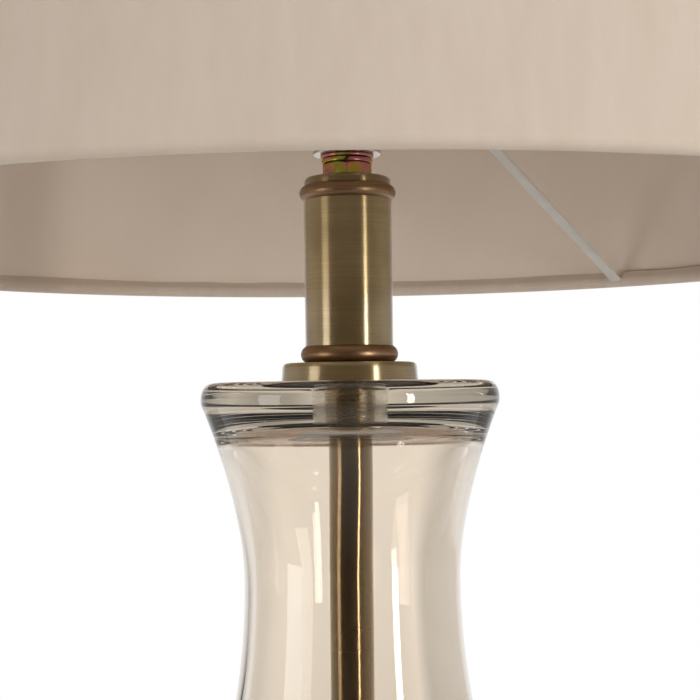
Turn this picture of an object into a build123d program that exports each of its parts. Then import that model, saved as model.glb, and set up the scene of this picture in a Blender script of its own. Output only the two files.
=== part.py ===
from build123d import *
from math import atan2, cos, degrees, hypot, radians, sin, sqrt
import os

# Table lamp: a flared glass body on a weighted brass base, a turned brass neck,
# a lampholder and a fabric drum shade on a three-armed carrier.
# Millimetres, +Z up, origin on the table under the lamp's axis.

# --- Base ---------------------------------------------------------------------
felt_thickness = 2.0
felt_inset = 1.0              # felt edge, inside the base's outer face
base_radius = 65.0
base_height = 19.0
base_sheet = 1.2              # wall of the spun cover
base_edge_radius = 5.0        # rounded top edge of the cover
weight_clearance = 0.3        # cast weight to spun cover, at the rim
nut_recess_radius = 15.0
nut_recess_depth = 9.0
cord_channel_width = 11.0
cord_channel_height = 11.5

# --- Cord outlet bush, at the back --------------------------------------------
bush_bore_radius = 3.5
bush_barrel_radius = 4.5
bush_flange_radius = 6.2
bush_flange_thickness = 1.6
bush_flange_root = 1.0        # flange behind the cover's outermost line
bush_barrel_length = 8.0      # from the cover's outer face inwards
bush_snap_radius = 4.9        # snap ridge behind the cover's wall
bush_snap_length = 2.0
bush_height = 6.2             # bush axis above the felt
bush_hole_clearance = 0.1

# --- Glass body ---------------------------------------------------------------
glass_height = 284.0
glass_wall = 3.5
glass_lip_radius = 42.96      # widest part of the flared top
glass_edge_radius = 5.2       # rounded top edge
glass_flare_angle = 22.0      # slope under the top edge, from vertical
glass_flare_handle = 9.0      # length of the curve's handle under the top edge
glass_waist_radius = 31.1
glass_waist_drop = 57.0       # below the glass top
glass_waist_rise = 19.0       # curve handle above the waist
glass_waist_fall = 62.0       # curve handle below the waist
glass_belly_radius = 60.0
glass_belly_drop = 205.0
glass_belly_rise = 45.0       # curve handle above the belly
glass_belly_fall = 42.0       # curve handle below the belly
glass_foot_radius = 50.0
glass_foot_rise = 30.0        # curve handle above the foot
glass_crown_thickness = 12.8  # solid glass over the cavity, beside the bore
glass_crown_handle = 25.5     # flatness of the cavity's ceiling
glass_crown_drop = 28.0       # where the ceiling's curve has become the wall
glass_crown_corner = 9.0      # curve handle at the wall end of the ceiling
glass_bore_radius = 7.25

# --- Rod and its fittings -----------------------------------------------------
tube_radius = 5.0             # threaded tube, over its threads
tube_bore_radius = 3.8
tube_bottom_gap = 1.5         # tube end above the felt
hole_clearance = 0.2          # plain holes round the threaded tube
sleeve_radius = 6.35
sleeve_wall = 0.8
spigot_clearance = 0.05       # turned spigots in tube bores
spigot_length = 2.0
foot_gasket_thickness = 1.0
foot_gasket_inset = 0.5
locator_thickness = 3.5
locator_clearance = 0.6       # to the mouth of the glass
locator_edge_radius = 1.0
top_gasket_thickness = 0.6
top_gasket_radius = 17.0
gasket_bore_clearance = 0.3   # seals round the sleeve
base_washer_radius = 12.0
base_washer_thickness = 1.5
nut_across_flats = 14.0
nut_thickness = 4.0
nut_chamfer = 0.6

# --- Neck ---------------------------------------------------------------------
cap_disc_radius = 19.8
cap_disc_height = 5.3
cap_disc_draft = 0.45         # top of the disc, smaller by this
cap_disc_edge_radius = 1.5
neck_radius = 12.7
neck_wall = 1.2
neck_length = 41.9
lower_bead_radius = 14.05
lower_bead_height = 4.8
upper_bead_radius = 13.9
upper_bead_height = 4.2
bead_bore_radius = 9.0
bead_step = 0.2               # foot of the half round, inside the neck's outer face
neck_cap_radius = 12.48
neck_cap_thickness = 2.3
neck_cap_edge_radius = 1.1
lock_washer_radius = 7.4
lock_washer_thickness = 1.6
lock_washer_gap = 0.9         # slot where the washer is split
lock_washer_slant = 30.0      # degrees, slot to the washer's axis
flat_washer_radius = 7.7
flat_washer_thickness = 1.0
seat_plate_radius = 9.9
seat_plate_thickness = 1.2
seat_plate_edge_radius = 0.4

# --- Lampholder ---------------------------------------------------------------
holder_boss_radius = 8.0
holder_boss_height = 6.0
holder_boss_fillet = 1.5
holder_cap_radius = 19.3
holder_cap_height = 23.0
holder_dome_height = 12.0
holder_dome_radius = 5.0
holder_wall = 1.0
holder_lip_radius = 4.0       # stop for the threaded tube
insert_radius = 18.2
insert_seat_height = 14.0     # ledge in the cap
insert_ledge_width = 1.5
insert_ledge_fillet = 1.0
insert_thickness = 6.0
insert_pedestal_radius = 13.8
insert_pedestal_height = 4.0
contact_radius = 3.5
contact_thickness = 1.5
contact_edge_radius = 0.6
contact_stem_radius = 1.5
contact_guide_clearance = 0.05
contact_travel = 1.4          # head above its well, at rest
contact_collar_radius = 2.5
contact_collar_thickness = 1.0
socket_radius = 13.4
socket_wall = 0.5
socket_length = 26.0
socket_floor_hole_radius = 6.0
skirt_radius = 19.8
skirt_wall = 2.4
skirt_lip_radius = 14.2
skirt_lip_height = 4.0
skirt_shoulder_radius = 21.5
skirt_shoulder_height = 1.5
skirt_spigot_wall = 1.7
skirt_edge_radius = 1.0
terminal_offset = 10.0
terminal_head_radius = 2.8
terminal_head_height = 2.0
terminal_shank_radius = 1.5
terminal_shank_length = 5.0

# --- Shade rings on the lampholder --------------------------------------------
ring_running_clearance = 0.08
ring_flange_radius = 27.0
ring_flange_thickness = 2.0
ring_collar_radius = 22.6
ring_collar_height = 4.5
ring_collar_edge_radius = 0.6
ring_grip_count = 24
ring_grip_radius = 1.2
ring_grip_depth = 0.7
ring_seat_height = 33.9       # top of the lower ring above the seat plate

# --- Shade --------------------------------------------------------------------
shade_bottom_radius = 178.0
shade_top_radius = 152.5
shade_height = 235.0
fabric_thickness = 0.8
lining_thickness = 0.5
wire_radius = 1.6
glue_line = 0.05              # between the cloth and what it is wrapped round
hem_width = 6.5               # cloth turned in over the wire
fitter_drop = 65.0            # shade's lower edge below the carrier's ring
fitter_ring_bore_clearance = 0.7
fitter_ring_width = 9.5
fitter_ring_thickness = 2.0
arm_count = 3
arm_first_angle = 53.1        # degrees from +X
arm_width = 4.0
arm_thickness = 2.0
arm_edge_radius = 0.7
arm_notch_clearance = 0.8     # cut in the hem round each arm

# --- Heights, from the table up -----------------------------------------------
cover_bottom = felt_thickness
cover_top = cover_bottom + base_height
weight_top = cover_top - base_sheet
locator_top = cover_top + locator_thickness
glass_bottom = cover_top + foot_gasket_thickness
glass_top = glass_bottom + glass_height
cap_disc_top = glass_top + cap_disc_height
neck_bottom = cap_disc_top + lower_bead_height
neck_top = neck_bottom + neck_length
neck_cap_bottom = neck_top + upper_bead_height
nut_bottom = neck_cap_bottom + neck_cap_thickness
lock_washer_bottom = nut_bottom + nut_thickness
flat_washer_bottom = lock_washer_bottom + lock_washer_thickness
seat_plate_bottom = flat_washer_bottom + flat_washer_thickness
holder_bottom = seat_plate_bottom + seat_plate_thickness
insert_bottom = holder_bottom + insert_seat_height
insert_shoulder = insert_bottom + insert_thickness
pedestal_top = insert_shoulder + insert_pedestal_height
skirt_bottom = holder_bottom + holder_cap_height
socket_top = pedestal_top + socket_length
skirt_top = socket_top + skirt_lip_height
tube_top = holder_bottom + holder_boss_height
support_top = holder_bottom + ring_seat_height
fitter_top = support_top + fitter_ring_thickness
fitter_middle = support_top + fitter_ring_thickness / 2
shade_bottom = fitter_middle - fitter_drop
shade_top = shade_bottom + shade_height
fitter_bore_radius = skirt_radius + fitter_ring_bore_clearance
fitter_outer_radius = fitter_bore_radius + fitter_ring_width
tube_hole_radius = tube_radius + hole_clearance
sleeve_bore_radius = sleeve_radius - sleeve_wall
wrap_radius = wire_radius + glue_line
wire_to_edge = wrap_radius + fabric_thickness


def turned(*corners):
    """A solid of revolution about Z. Each corner of its half section is
    (radius, height) or (radius, height, rounding)."""
    points = [(corner[0], corner[1]) for corner in corners]
    roundings = [corner[2] if len(corner) > 2 else 0 for corner in corners]
    if any(roundings):
        outline = FilletPolyline(*points, radius=roundings, close=True)
    else:
        outline = Polyline(*points, close=True)
    return revolve(Plane.XZ * make_face(outline), axis=Axis.Z)


def washer(outer_radius, inner_radius, bottom, thickness):
    """A flat ring, or a plain tube when it is long."""
    return turned(
        (inner_radius, bottom),
        (outer_radius, bottom),
        (outer_radius, bottom + thickness),
        (inner_radius, bottom + thickness),
    )


def rod(radius, bottom, height):
    """A solid round bar on the lamp's axis."""
    return Pos(0, 0, bottom) * Cylinder(radius, height, align=(Align.CENTER, Align.CENTER, Align.MIN))


def hexagon_nut(bottom, turn):
    """A hexagon nut chamfered on both faces; turn is the angle of one corner."""
    corner_radius = nut_across_flats / sqrt(3)
    prism = extrude(
        Pos(0, 0, bottom) * Rot(0, 0, turn) * RegularPolygon(corner_radius, 6), amount=nut_thickness
    )
    # A turned blank whose conical ends take the six corners off.
    top = bottom + nut_thickness
    face_radius = nut_across_flats / 2
    blank = turned(
        (0, bottom),
        (face_radius, bottom),
        (corner_radius, bottom + nut_chamfer),
        (corner_radius, top - nut_chamfer),
        (face_radius, top),
        (0, top),
    )
    return (prism & blank) - rod(tube_radius, bottom, nut_thickness)


# --- Base pieces --------------------------------------------------------------


def base_felt():
    """Felt disc under the base."""
    return rod(base_radius - felt_inset, 0, felt_thickness)


def bush_plane(distance):
    """Plane across the cord outlet, at a distance from the axis towards +Y."""
    return Plane(origin=(0, distance, cover_bottom + bush_height), x_dir=(1, 0, 0), z_dir=(0, 1, 0))


def base_cover():
    """Spun cover: a shallow dish, mouth down, with a hole for the cord bush."""
    inner_radius = base_radius - base_sheet
    dish = turned(
        (tube_hole_radius, cover_top),
        (base_radius, cover_top, base_edge_radius),
        (base_radius, cover_bottom),
        (inner_radius, cover_bottom),
        (inner_radius, weight_top, base_edge_radius - base_sheet),
        (tube_hole_radius, weight_top),
    )
    hole = bush_plane(base_radius) * Cylinder(bush_barrel_radius + bush_hole_clearance, 4 * base_sheet)
    return dish - hole


def base_weight():
    """Cast weight, with a recess for the nut and a channel for the cord."""
    rim = base_radius - base_sheet - weight_clearance
    disc = turned(
        (tube_hole_radius, cover_bottom + nut_recess_depth),
        (nut_recess_radius, cover_bottom + nut_recess_depth),
        (nut_recess_radius, cover_bottom),
        (rim, cover_bottom),
        (rim, weight_top, base_edge_radius),
        (tube_hole_radius, weight_top),
    )
    channel = Box(
        cord_channel_width, base_radius, cord_channel_height, align=(Align.CENTER, Align.MIN, Align.MIN)
    )
    return disc - Pos(0, 0, cover_bottom) * channel


def cord_bush():
    """Flanged bush that snaps into the cover's wall; its bore takes the cord."""
    outer_face = base_radius + bush_flange_thickness
    inner_end = base_radius - bush_barrel_length
    middle = (outer_face + inner_end) / 2
    barrel = bush_plane(middle) * Cylinder(bush_barrel_radius, outer_face - inner_end)
    flange_depth = bush_flange_thickness + bush_flange_root
    flange = bush_plane(outer_face - flange_depth / 2) * Cylinder(bush_flange_radius, flange_depth)
    snap_middle = base_radius - base_sheet - bush_snap_length / 2
    snap = bush_plane(snap_middle) * Cylinder(bush_snap_radius, bush_snap_length)
    # The flange's back and the snap ridge's front follow the round wall.
    flange -= rod(base_radius, 0, cover_top)
    snap &= rod(base_radius - base_sheet, 0, cover_top)
    bore = bush_plane(middle) * Cylinder(bush_bore_radius, 2 * (outer_face - inner_end))
    return barrel + flange + snap - bore


def base_washer():
    """Steel washer between the weight and its nut."""
    bottom = cover_bottom + nut_recess_depth - base_washer_thickness
    return washer(base_washer_radius, tube_hole_radius, bottom, base_washer_thickness)


def base_nut():
    """Nut that draws the whole stack together from below."""
    bottom = cover_bottom + nut_recess_depth - base_washer_thickness - nut_thickness
    return hexagon_nut(bottom, 0)


# --- Glass --------------------------------------------------------------------


def at_drop(radius, drop):
    """A point of the glass's half section, by its depth below the glass top."""
    return (radius, glass_top - drop)


def waist_and_belly(inset):
    """Edges from the waist down to the foot, moved towards the axis by inset."""
    waist = glass_waist_radius - inset
    belly = glass_belly_radius - inset
    foot = glass_foot_radius - inset
    to_belly = Bezier(
        at_drop(waist, glass_waist_drop),
        at_drop(waist, glass_waist_drop + glass_waist_fall),
        at_drop(belly, glass_belly_drop - glass_belly_rise),
        at_drop(belly, glass_belly_drop),
    )
    to_foot = Bezier(
        at_drop(belly, glass_belly_drop),
        at_drop(belly, glass_belly_drop + glass_belly_fall),
        at_drop(foot, glass_height - glass_foot_rise),
        at_drop(foot, glass_height),
    )
    return [to_belly, to_foot]


def glass_outside():
    """The body's outer form: flared top, waist, belly and foot."""
    slope = radians(glass_flare_angle)
    centre_radius = glass_lip_radius - glass_edge_radius

    def on_edge(angle):
        """Radius and drop of a point of the rounded edge, angle above horizontal."""
        return (centre_radius + glass_edge_radius * cos(angle), glass_edge_radius * (1 - sin(angle)))

    edge_end = on_edge(-slope)
    edge_middle = on_edge((radians(90) - slope) / 2)
    edge = ThreePointArc(at_drop(centre_radius, 0), at_drop(*edge_middle), at_drop(*edge_end))
    handle = (
        edge_end[0] - glass_flare_handle * sin(slope),
        edge_end[1] + glass_flare_handle * cos(slope),
    )
    flare = Bezier(
        at_drop(*edge_end),
        at_drop(*handle),
        at_drop(glass_waist_radius, glass_waist_drop - glass_waist_rise),
        at_drop(glass_waist_radius, glass_waist_drop),
    )
    rim = [
        Line(at_drop(glass_foot_radius, glass_height), at_drop(0, glass_height)),
        Line(at_drop(0, glass_height), at_drop(0, 0)),
        Line(at_drop(0, 0), at_drop(centre_radius, 0)),
    ]
    outline = Wire([edge, flare] + waist_and_belly(0) + rim)
    return revolve(Plane.XZ * make_face(outline), axis=Axis.Z)


def glass_inside():
    """The cavity: a domed ceiling under the thick crown, then an even wall."""
    slope = radians(glass_flare_angle)
    flare_share = (glass_waist_drop - glass_crown_drop) / (glass_waist_drop - glass_edge_radius)
    wall_radius = glass_waist_radius + (glass_lip_radius - glass_waist_radius) * flare_share ** 2 - glass_wall
    waist = glass_waist_radius - glass_wall
    ceiling = Bezier(
        at_drop(0, glass_crown_thickness),
        at_drop(glass_crown_handle, glass_crown_thickness),
        at_drop(wall_radius + glass_crown_corner * sin(slope), glass_crown_drop - glass_crown_corner),
        at_drop(wall_radius, glass_crown_drop),
    )
    flare = Bezier(
        at_drop(wall_radius, glass_crown_drop),
        at_drop(wall_radius - glass_flare_handle * sin(slope), glass_crown_drop + glass_flare_handle),
        at_drop(waist, glass_waist_drop - glass_waist_rise / 2),
        at_drop(waist, glass_waist_drop),
    )
    rim = [
        Line(at_drop(glass_foot_radius - glass_wall, glass_height), at_drop(0, glass_height)),
        Line(at_drop(0, glass_height), at_drop(0, glass_crown_thickness)),
    ]
    outline = Wire([ceiling, flare] + waist_and_belly(glass_wall) + rim)
    return revolve(Plane.XZ * make_face(outline), axis=Axis.Z)


def glass_body():
    """Blown glass body, thick at the top, where it is drilled for the rod."""
    bore = rod(glass_bore_radius, glass_bottom, glass_height)
    return glass_outside() - glass_inside() - bore


def foot_gasket():
    """Clear seal under the foot of the glass."""
    mouth = glass_foot_radius - glass_wall
    return washer(
        glass_foot_radius - foot_gasket_inset, mouth + foot_gasket_inset, cover_top, foot_gasket_thickness
    )


def foot_locator():
    """Turned disc that centres the glass's mouth and the foot of the sleeve."""
    edge = glass_foot_radius - glass_wall - locator_clearance
    spigot = sleeve_bore_radius - spigot_clearance
    return turned(
        (tube_hole_radius, cover_top),
        (edge, cover_top),
        (edge, locator_top, locator_edge_radius),
        (spigot, locator_top),
        (spigot, locator_top + spigot_length),
        (tube_hole_radius, locator_top + spigot_length),
    )


def rod_sleeve():
    """Brass tube seen inside the glass, from the locator to the cap disc."""
    return washer(sleeve_radius, sleeve_bore_radius, locator_top, glass_top - locator_top)


def threaded_tube():
    """Threaded steel tube that carries the wires and clamps the whole stack."""
    bottom = cover_bottom + tube_bottom_gap
    return washer(tube_radius, tube_bore_radius, bottom, tube_top - bottom)


def top_gasket():
    """Clear seal in the underside of the cap disc."""
    return washer(
        top_gasket_radius, sleeve_radius + gasket_bore_clearance, glass_top, top_gasket_thickness
    )


# --- Neck ---------------------------------------------------------------------


def cap_disc():
    """Turned disc on the glass, recessed below for its seal."""
    top_radius = cap_disc_radius - cap_disc_draft
    recess_top = glass_top + top_gasket_thickness
    spigot = sleeve_bore_radius - spigot_clearance
    return turned(
        (tube_hole_radius, glass_top - spigot_length),
        (spigot, glass_top - spigot_length),
        (spigot, glass_top),
        (sleeve_radius + gasket_bore_clearance, glass_top),
        (sleeve_radius + gasket_bore_clearance, recess_top),
        (top_gasket_radius, recess_top),
        (top_gasket_radius, glass_top),
        (cap_disc_radius, glass_top),
        (top_radius, cap_disc_top, cap_disc_edge_radius),
        (tube_hole_radius, cap_disc_top),
    )


def bead(outer_radius, bottom, height, spigot_up):
    """Half-round ring with a spigot that centres the neck tube."""
    seat = neck_radius - neck_wall - spigot_clearance
    straight = neck_radius - bead_step
    ring_part = washer(straight, bead_bore_radius, bottom, height)
    bulge = ThreePointArc(
        (straight, bottom), (outer_radius, bottom + height / 2), (straight, bottom + height)
    )
    chord = Line((straight, bottom + height), (straight, bottom))
    round_part = revolve(Plane.XZ * make_face(Wire([bulge, chord])), axis=Axis.Z)
    spigot_bottom = bottom + height if spigot_up else bottom - spigot_length
    spigot = washer(seat, bead_bore_radius, spigot_bottom, spigot_length)
    return ring_part + round_part + spigot


def lower_bead():
    return bead(lower_bead_radius, cap_disc_top, lower_bead_height, True)


def upper_bead():
    return bead(upper_bead_radius, neck_top, upper_bead_height, False)


def neck_tube():
    """Brushed tube between the two beads."""
    return washer(neck_radius, neck_radius - neck_wall, neck_bottom, neck_length)


def neck_cap():
    """Disc that closes the neck, with a spigot in the upper bead."""
    spigot = bead_bore_radius - spigot_clearance
    return turned(
        (tube_hole_radius, neck_cap_bottom - spigot_length),
        (spigot, neck_cap_bottom - spigot_length),
        (spigot, neck_cap_bottom),
        (neck_cap_radius, neck_cap_bottom),
        (neck_cap_radius, nut_bottom, neck_cap_edge_radius),
        (tube_hole_radius, nut_bottom),
    )


def neck_nut():
    """Nut over the neck, one corner to the front."""
    return hexagon_nut(nut_bottom, -90)


def lock_washer():
    """Spring washer, split by a slanted slot at the front."""
    body = washer(lock_washer_radius, tube_hole_radius, lock_washer_bottom, lock_washer_thickness)
    slot = Box(lock_washer_gap, lock_washer_radius, 4 * lock_washer_thickness)
    middle = Pos(0, -(lock_washer_radius + tube_radius) / 2, lock_washer_bottom + lock_washer_thickness / 2)
    return body - middle * Rot(0, lock_washer_slant, 0) * slot


def flat_washer():
    return washer(flat_washer_radius, tube_hole_radius, flat_washer_bottom, flat_washer_thickness)


def seat_plate():
    """Plated disc on which the lampholder stands."""
    return turned(
        (tube_hole_radius, seat_plate_bottom),
        (seat_plate_radius, seat_plate_bottom, seat_plate_edge_radius),
        (seat_plate_radius, holder_bottom, seat_plate_edge_radius),
        (tube_hole_radius, holder_bottom),
    )


# --- Lampholder ---------------------------------------------------------------


def holder_cap():
    """Lower shell of the lampholder: screwed boss, dome and cylindrical wall."""
    boss_top = holder_bottom + holder_boss_height
    dome_top = holder_bottom + holder_dome_height
    rim = holder_bottom + holder_cap_height
    inside = holder_cap_radius - holder_wall
    ledge = inside - insert_ledge_width
    return turned(
        (tube_radius, holder_bottom),
        (holder_boss_radius, holder_bottom),
        (holder_boss_radius, boss_top, holder_boss_fillet),
        (holder_cap_radius, dome_top, holder_dome_radius),
        (holder_cap_radius, rim),
        (inside, rim),
        (inside, insert_bottom),
        (ledge, insert_bottom),
        (ledge, dome_top, insert_ledge_fillet),
        (holder_boss_radius - holder_wall, boss_top + holder_wall),
        (holder_lip_radius, boss_top + holder_wall),
        (holder_lip_radius, boss_top),
        (tube_radius, boss_top),
    )


def terminal_places():
    """The two terminal screws stand on either side of the axis."""
    return [Pos(side * terminal_offset, 0, insert_bottom) for side in (-1, 1)]


def holder_insert():
    """Insulating block in the lampholder, with a well and a guide for the contact."""
    block = rod(insert_radius, insert_bottom, insert_thickness)
    pedestal = rod(insert_pedestal_radius, insert_shoulder, insert_pedestal_height)
    guide = rod(
        contact_stem_radius + contact_guide_clearance, insert_bottom, insert_thickness + insert_pedestal_height
    )
    tapped = Cylinder(
        terminal_shank_radius, terminal_shank_length, align=(Align.CENTER, Align.CENTER, Align.MIN)
    )
    well_depth = contact_travel + contact_thickness
    well = rod(socket_floor_hole_radius, pedestal_top - well_depth, well_depth)
    block = block + pedestal - guide - well
    for place in terminal_places():
        block -= place * tapped
    return block


def terminal_screws():
    """Two cheese-head screws under the insulating block."""
    head = Cylinder(
        terminal_head_radius, terminal_head_height, align=(Align.CENTER, Align.CENTER, Align.MAX)
    )
    shank = Cylinder(
        terminal_shank_radius, terminal_shank_length, align=(Align.CENTER, Align.CENTER, Align.MIN)
    )
    return Compound(children=[place * (head + shank) for place in terminal_places()])


def centre_contact():
    """Sprung contact pin; its collar stops it under the block."""
    collar_bottom = insert_bottom - contact_collar_thickness
    head_top = pedestal_top
    head_bottom = head_top - contact_thickness
    return turned(
        (0, collar_bottom),
        (contact_collar_radius, collar_bottom),
        (contact_collar_radius, insert_bottom),
        (contact_stem_radius, insert_bottom),
        (contact_stem_radius, head_bottom),
        (contact_radius, head_bottom),
        (contact_radius, head_top, contact_edge_radius),
        (0, head_top),
    )


def screw_shell():
    """Metal shell that takes the screw of a bulb."""
    outside = socket_radius + socket_wall
    return turned(
        (socket_floor_hole_radius, pedestal_top),
        (outside, pedestal_top),
        (outside, socket_top),
        (socket_radius, socket_top),
        (socket_radius, pedestal_top + socket_wall),
        (socket_floor_hole_radius, pedestal_top + socket_wall),
    )


def holder_skirt():
    """Outer sleeve of the lampholder, with a shoulder below and a lip above."""
    inside = skirt_radius - skirt_wall
    spigot = holder_cap_radius - holder_wall - spigot_clearance
    shoulder_top = skirt_bottom + skirt_shoulder_height
    return turned(
        (spigot - skirt_spigot_wall, insert_shoulder),
        (spigot, insert_shoulder),
        (spigot, skirt_bottom),
        (skirt_shoulder_radius, skirt_bottom),
        (skirt_shoulder_radius, shoulder_top),
        (skirt_radius, shoulder_top),
        (skirt_radius, skirt_top, skirt_edge_radius),
        (skirt_lip_radius, skirt_top, skirt_edge_radius),
        (skirt_lip_radius, socket_top),
        (inside, socket_top),
        (inside, skirt_bottom),
        (spigot - skirt_spigot_wall, skirt_bottom),
    )


def shade_ring(flange_face, away):
    """Screwed ring with a scalloped grip. away is +1 for a collar above the
    flange and -1 for one below it; flange_face bears on the shade's carrier."""
    bore = skirt_radius + ring_running_clearance
    flange_back = flange_face + away * ring_flange_thickness
    collar_end = flange_back + away * ring_collar_height
    ring_solid = turned(
        (bore, flange_face),
        (ring_flange_radius, flange_face),
        (ring_flange_radius, flange_back),
        (ring_collar_radius, flange_back),
        (ring_collar_radius, collar_end, ring_collar_edge_radius),
        (bore, collar_end),
    )
    scallop = Cylinder(ring_grip_radius, 4 * ring_flange_thickness)
    reach = ring_flange_radius - ring_grip_depth + ring_grip_radius
    middle = Pos(0, 0, (flange_face + flange_back) / 2)
    scallops = [middle * place * scallop for place in PolarLocations(reach, ring_grip_count)]
    return ring_solid - scallops


def support_ring():
    return shade_ring(support_top, -1)


def clamp_ring():
    return shade_ring(fitter_top, 1)


# --- Shade --------------------------------------------------------------------

# The wall's slope: along runs up the wall, out points away from the axis.
foot_centre = Vector(shade_bottom_radius - wire_to_edge, shade_bottom + wire_to_edge)
head_centre = Vector(shade_top_radius - wire_to_edge, shade_top - wire_to_edge)
along = (head_centre - foot_centre).normalized()
out = Vector(along.Y, -along.X)


def from_wire(centre, outwards, upwards):
    """A point of the shade's half section, from a wire's centre."""
    return centre + out * outwards + along * upwards


def tangent_point(centre, radius, far_out, far_up, side):
    """Where a line from a far point touches the circle round a wire."""
    distance = hypot(far_out, far_up)
    angle = atan2(far_up, far_out) + side * atan2(sqrt(distance**2 - radius**2), radius)
    return from_wire(centre, radius * cos(angle), radius * sin(angle))


def hem_edges(centre, side):
    """Half section of the cloth turned round a wire and brought back against
    the lining. side is +1 at the foot of the shade and -1 at its head."""
    band_out = wire_radius - lining_thickness - glue_line
    tip_out = band_out - fabric_thickness
    rise = side * hem_width
    outer_touch = tangent_point(centre, wire_to_edge, tip_out, rise, side)
    inner_touch = tangent_point(centre, wrap_radius, band_out, rise, side)
    tip = from_wire(centre, tip_out, rise)
    band = from_wire(centre, band_out, rise)
    return [
        ThreePointArc(
            from_wire(centre, wire_to_edge, 0), from_wire(centre, 0, -side * wire_to_edge), outer_touch
        ),
        Line(outer_touch, tip),
        Line(tip, band),
        Line(band, inner_touch),
        ThreePointArc(
            inner_touch, from_wire(centre, 0, -side * wrap_radius), from_wire(centre, wrap_radius, 0)
        ),
    ]


def arm_places():
    """Turns that carry the first arm to each arm's place."""
    return [Rot(0, 0, arm_first_angle + arm * 360 / arm_count) for arm in range(arm_count)]


def arm_bar(width, thickness, start_radius, end_radius):
    """A straight bar in the XZ plane, on the line of an arm, between two radii."""
    slope = (foot_centre.Y - fitter_middle) / (foot_centre.X - fitter_outer_radius)
    start = Vector(start_radius, 0, fitter_middle + slope * (start_radius - fitter_outer_radius))
    end = Vector(end_radius, 0, fitter_middle + slope * (end_radius - fitter_outer_radius))
    line = end - start
    frame = Plane(origin=(start + end) / 2, x_dir=line, z_dir=Vector(-line.Z, 0, line.X))
    return frame * Box(line.length, width, thickness)


def shade_fabric():
    """Outer cloth of the shade, turned in over both wires, notched at the arms."""
    faces = [
        Line(from_wire(foot_centre, offset, 0), from_wire(head_centre, offset, 0))
        for offset in (wrap_radius, wire_to_edge)
    ]
    outline = Wire(faces + hem_edges(foot_centre, 1) + hem_edges(head_centre, -1))
    cloth = revolve(Plane.XZ * make_face(outline), axis=Axis.Z)
    width = arm_width + 2 * arm_notch_clearance
    thickness = arm_thickness + 2 * arm_notch_clearance
    notch = arm_bar(width, thickness, foot_centre.X - 2 * hem_width, foot_centre.X)
    for place in arm_places():
        cloth -= place * notch
    return cloth


def shade_lining():
    """Stiff lining inside the cloth, between the two wires."""
    inner_face = wire_radius - lining_thickness
    outline = Polyline(
        from_wire(foot_centre, inner_face, wire_radius),
        from_wire(foot_centre, wire_radius, wire_radius),
        from_wire(head_centre, wire_radius, -wire_radius),
        from_wire(head_centre, inner_face, -wire_radius),
        close=True,
    )
    return revolve(Plane.XZ * make_face(outline), axis=Axis.Z)


def ring_wire(centre):
    """A wire ring inside a hem."""
    circle = Pos(centre.X, centre.Y) * Circle(wire_radius)
    return revolve(Plane.XZ * circle, axis=Axis.Z)


def lower_wire():
    return ring_wire(foot_centre)


def upper_wire():
    return ring_wire(head_centre)


def fitter_ring():
    """Flat ring of the carrier, clamped on the lampholder."""
    return washer(fitter_outer_radius, fitter_bore_radius, support_top, fitter_ring_thickness)


def fitter_arms():
    """Three straight arms, welded between the flat ring and the lower wire."""
    bar = arm_bar(arm_width, arm_thickness, fitter_outer_radius - arm_thickness, foot_centre.X)
    lengthwise = bar.edges().sort_by(SortBy.LENGTH)[-4:]
    bar = fillet(lengthwise, arm_edge_radius)
    bar -= rod(fitter_outer_radius, fitter_middle - fitter_drop, 2 * fitter_drop)
    bar -= lower_wire()
    bar = bar.solids().sort_by(SortBy.VOLUME)[-1]
    return Compound(children=[place * bar for place in arm_places()])


PIECES = [
    base_felt,
    base_cover,
    base_weight,
    cord_bush,
    base_washer,
    base_nut,
    foot_gasket,
    foot_locator,
    glass_body,
    rod_sleeve,
    threaded_tube,
    top_gasket,
    cap_disc,
    lower_bead,
    neck_tube,
    upper_bead,
    neck_cap,
    neck_nut,
    lock_washer,
    flat_washer,
    seat_plate,
    holder_cap,
    holder_insert,
    terminal_screws,
    centre_contact,
    screw_shell,
    holder_skirt,
    support_ring,
    clamp_ring,
    shade_fabric,
    shade_lining,
    lower_wire,
    upper_wire,
    fitter_ring,
    fitter_arms,
]

os.makedirs("parts", exist_ok=True)
for piece in PIECES:
    export_step(piece(), f"parts/{piece.__name__}.step")
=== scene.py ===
import math

import bpy
import numpy as np
from bpy.props import FloatProperty, FloatVectorProperty, IntProperty, PointerProperty
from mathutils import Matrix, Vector


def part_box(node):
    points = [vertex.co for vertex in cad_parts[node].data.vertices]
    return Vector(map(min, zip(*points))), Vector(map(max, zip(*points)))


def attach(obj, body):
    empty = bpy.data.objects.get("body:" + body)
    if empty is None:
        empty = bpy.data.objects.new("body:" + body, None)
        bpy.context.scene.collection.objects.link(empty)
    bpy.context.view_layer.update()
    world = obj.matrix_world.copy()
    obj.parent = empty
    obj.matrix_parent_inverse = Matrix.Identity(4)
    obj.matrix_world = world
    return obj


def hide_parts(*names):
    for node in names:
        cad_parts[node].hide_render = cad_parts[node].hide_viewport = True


bl_info = {
    "name": "Glass Table Lamp",
    "version": (1, 0, 0),
    "blender": (4, 5, 0),
    "location": "3D View > Sidebar > Lamp",
    "description": "Finishes, shade, threads and studio for a glass table lamp on a packed frame",
    "category": "Object",
}

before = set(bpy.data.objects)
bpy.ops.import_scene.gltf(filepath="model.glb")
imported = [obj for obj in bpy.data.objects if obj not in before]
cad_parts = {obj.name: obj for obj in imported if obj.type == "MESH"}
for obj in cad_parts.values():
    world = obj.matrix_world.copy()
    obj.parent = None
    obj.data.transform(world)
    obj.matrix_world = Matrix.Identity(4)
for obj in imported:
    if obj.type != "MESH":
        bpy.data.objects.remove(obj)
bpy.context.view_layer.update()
MM = 0.001
TURN = 2 * math.pi
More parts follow.
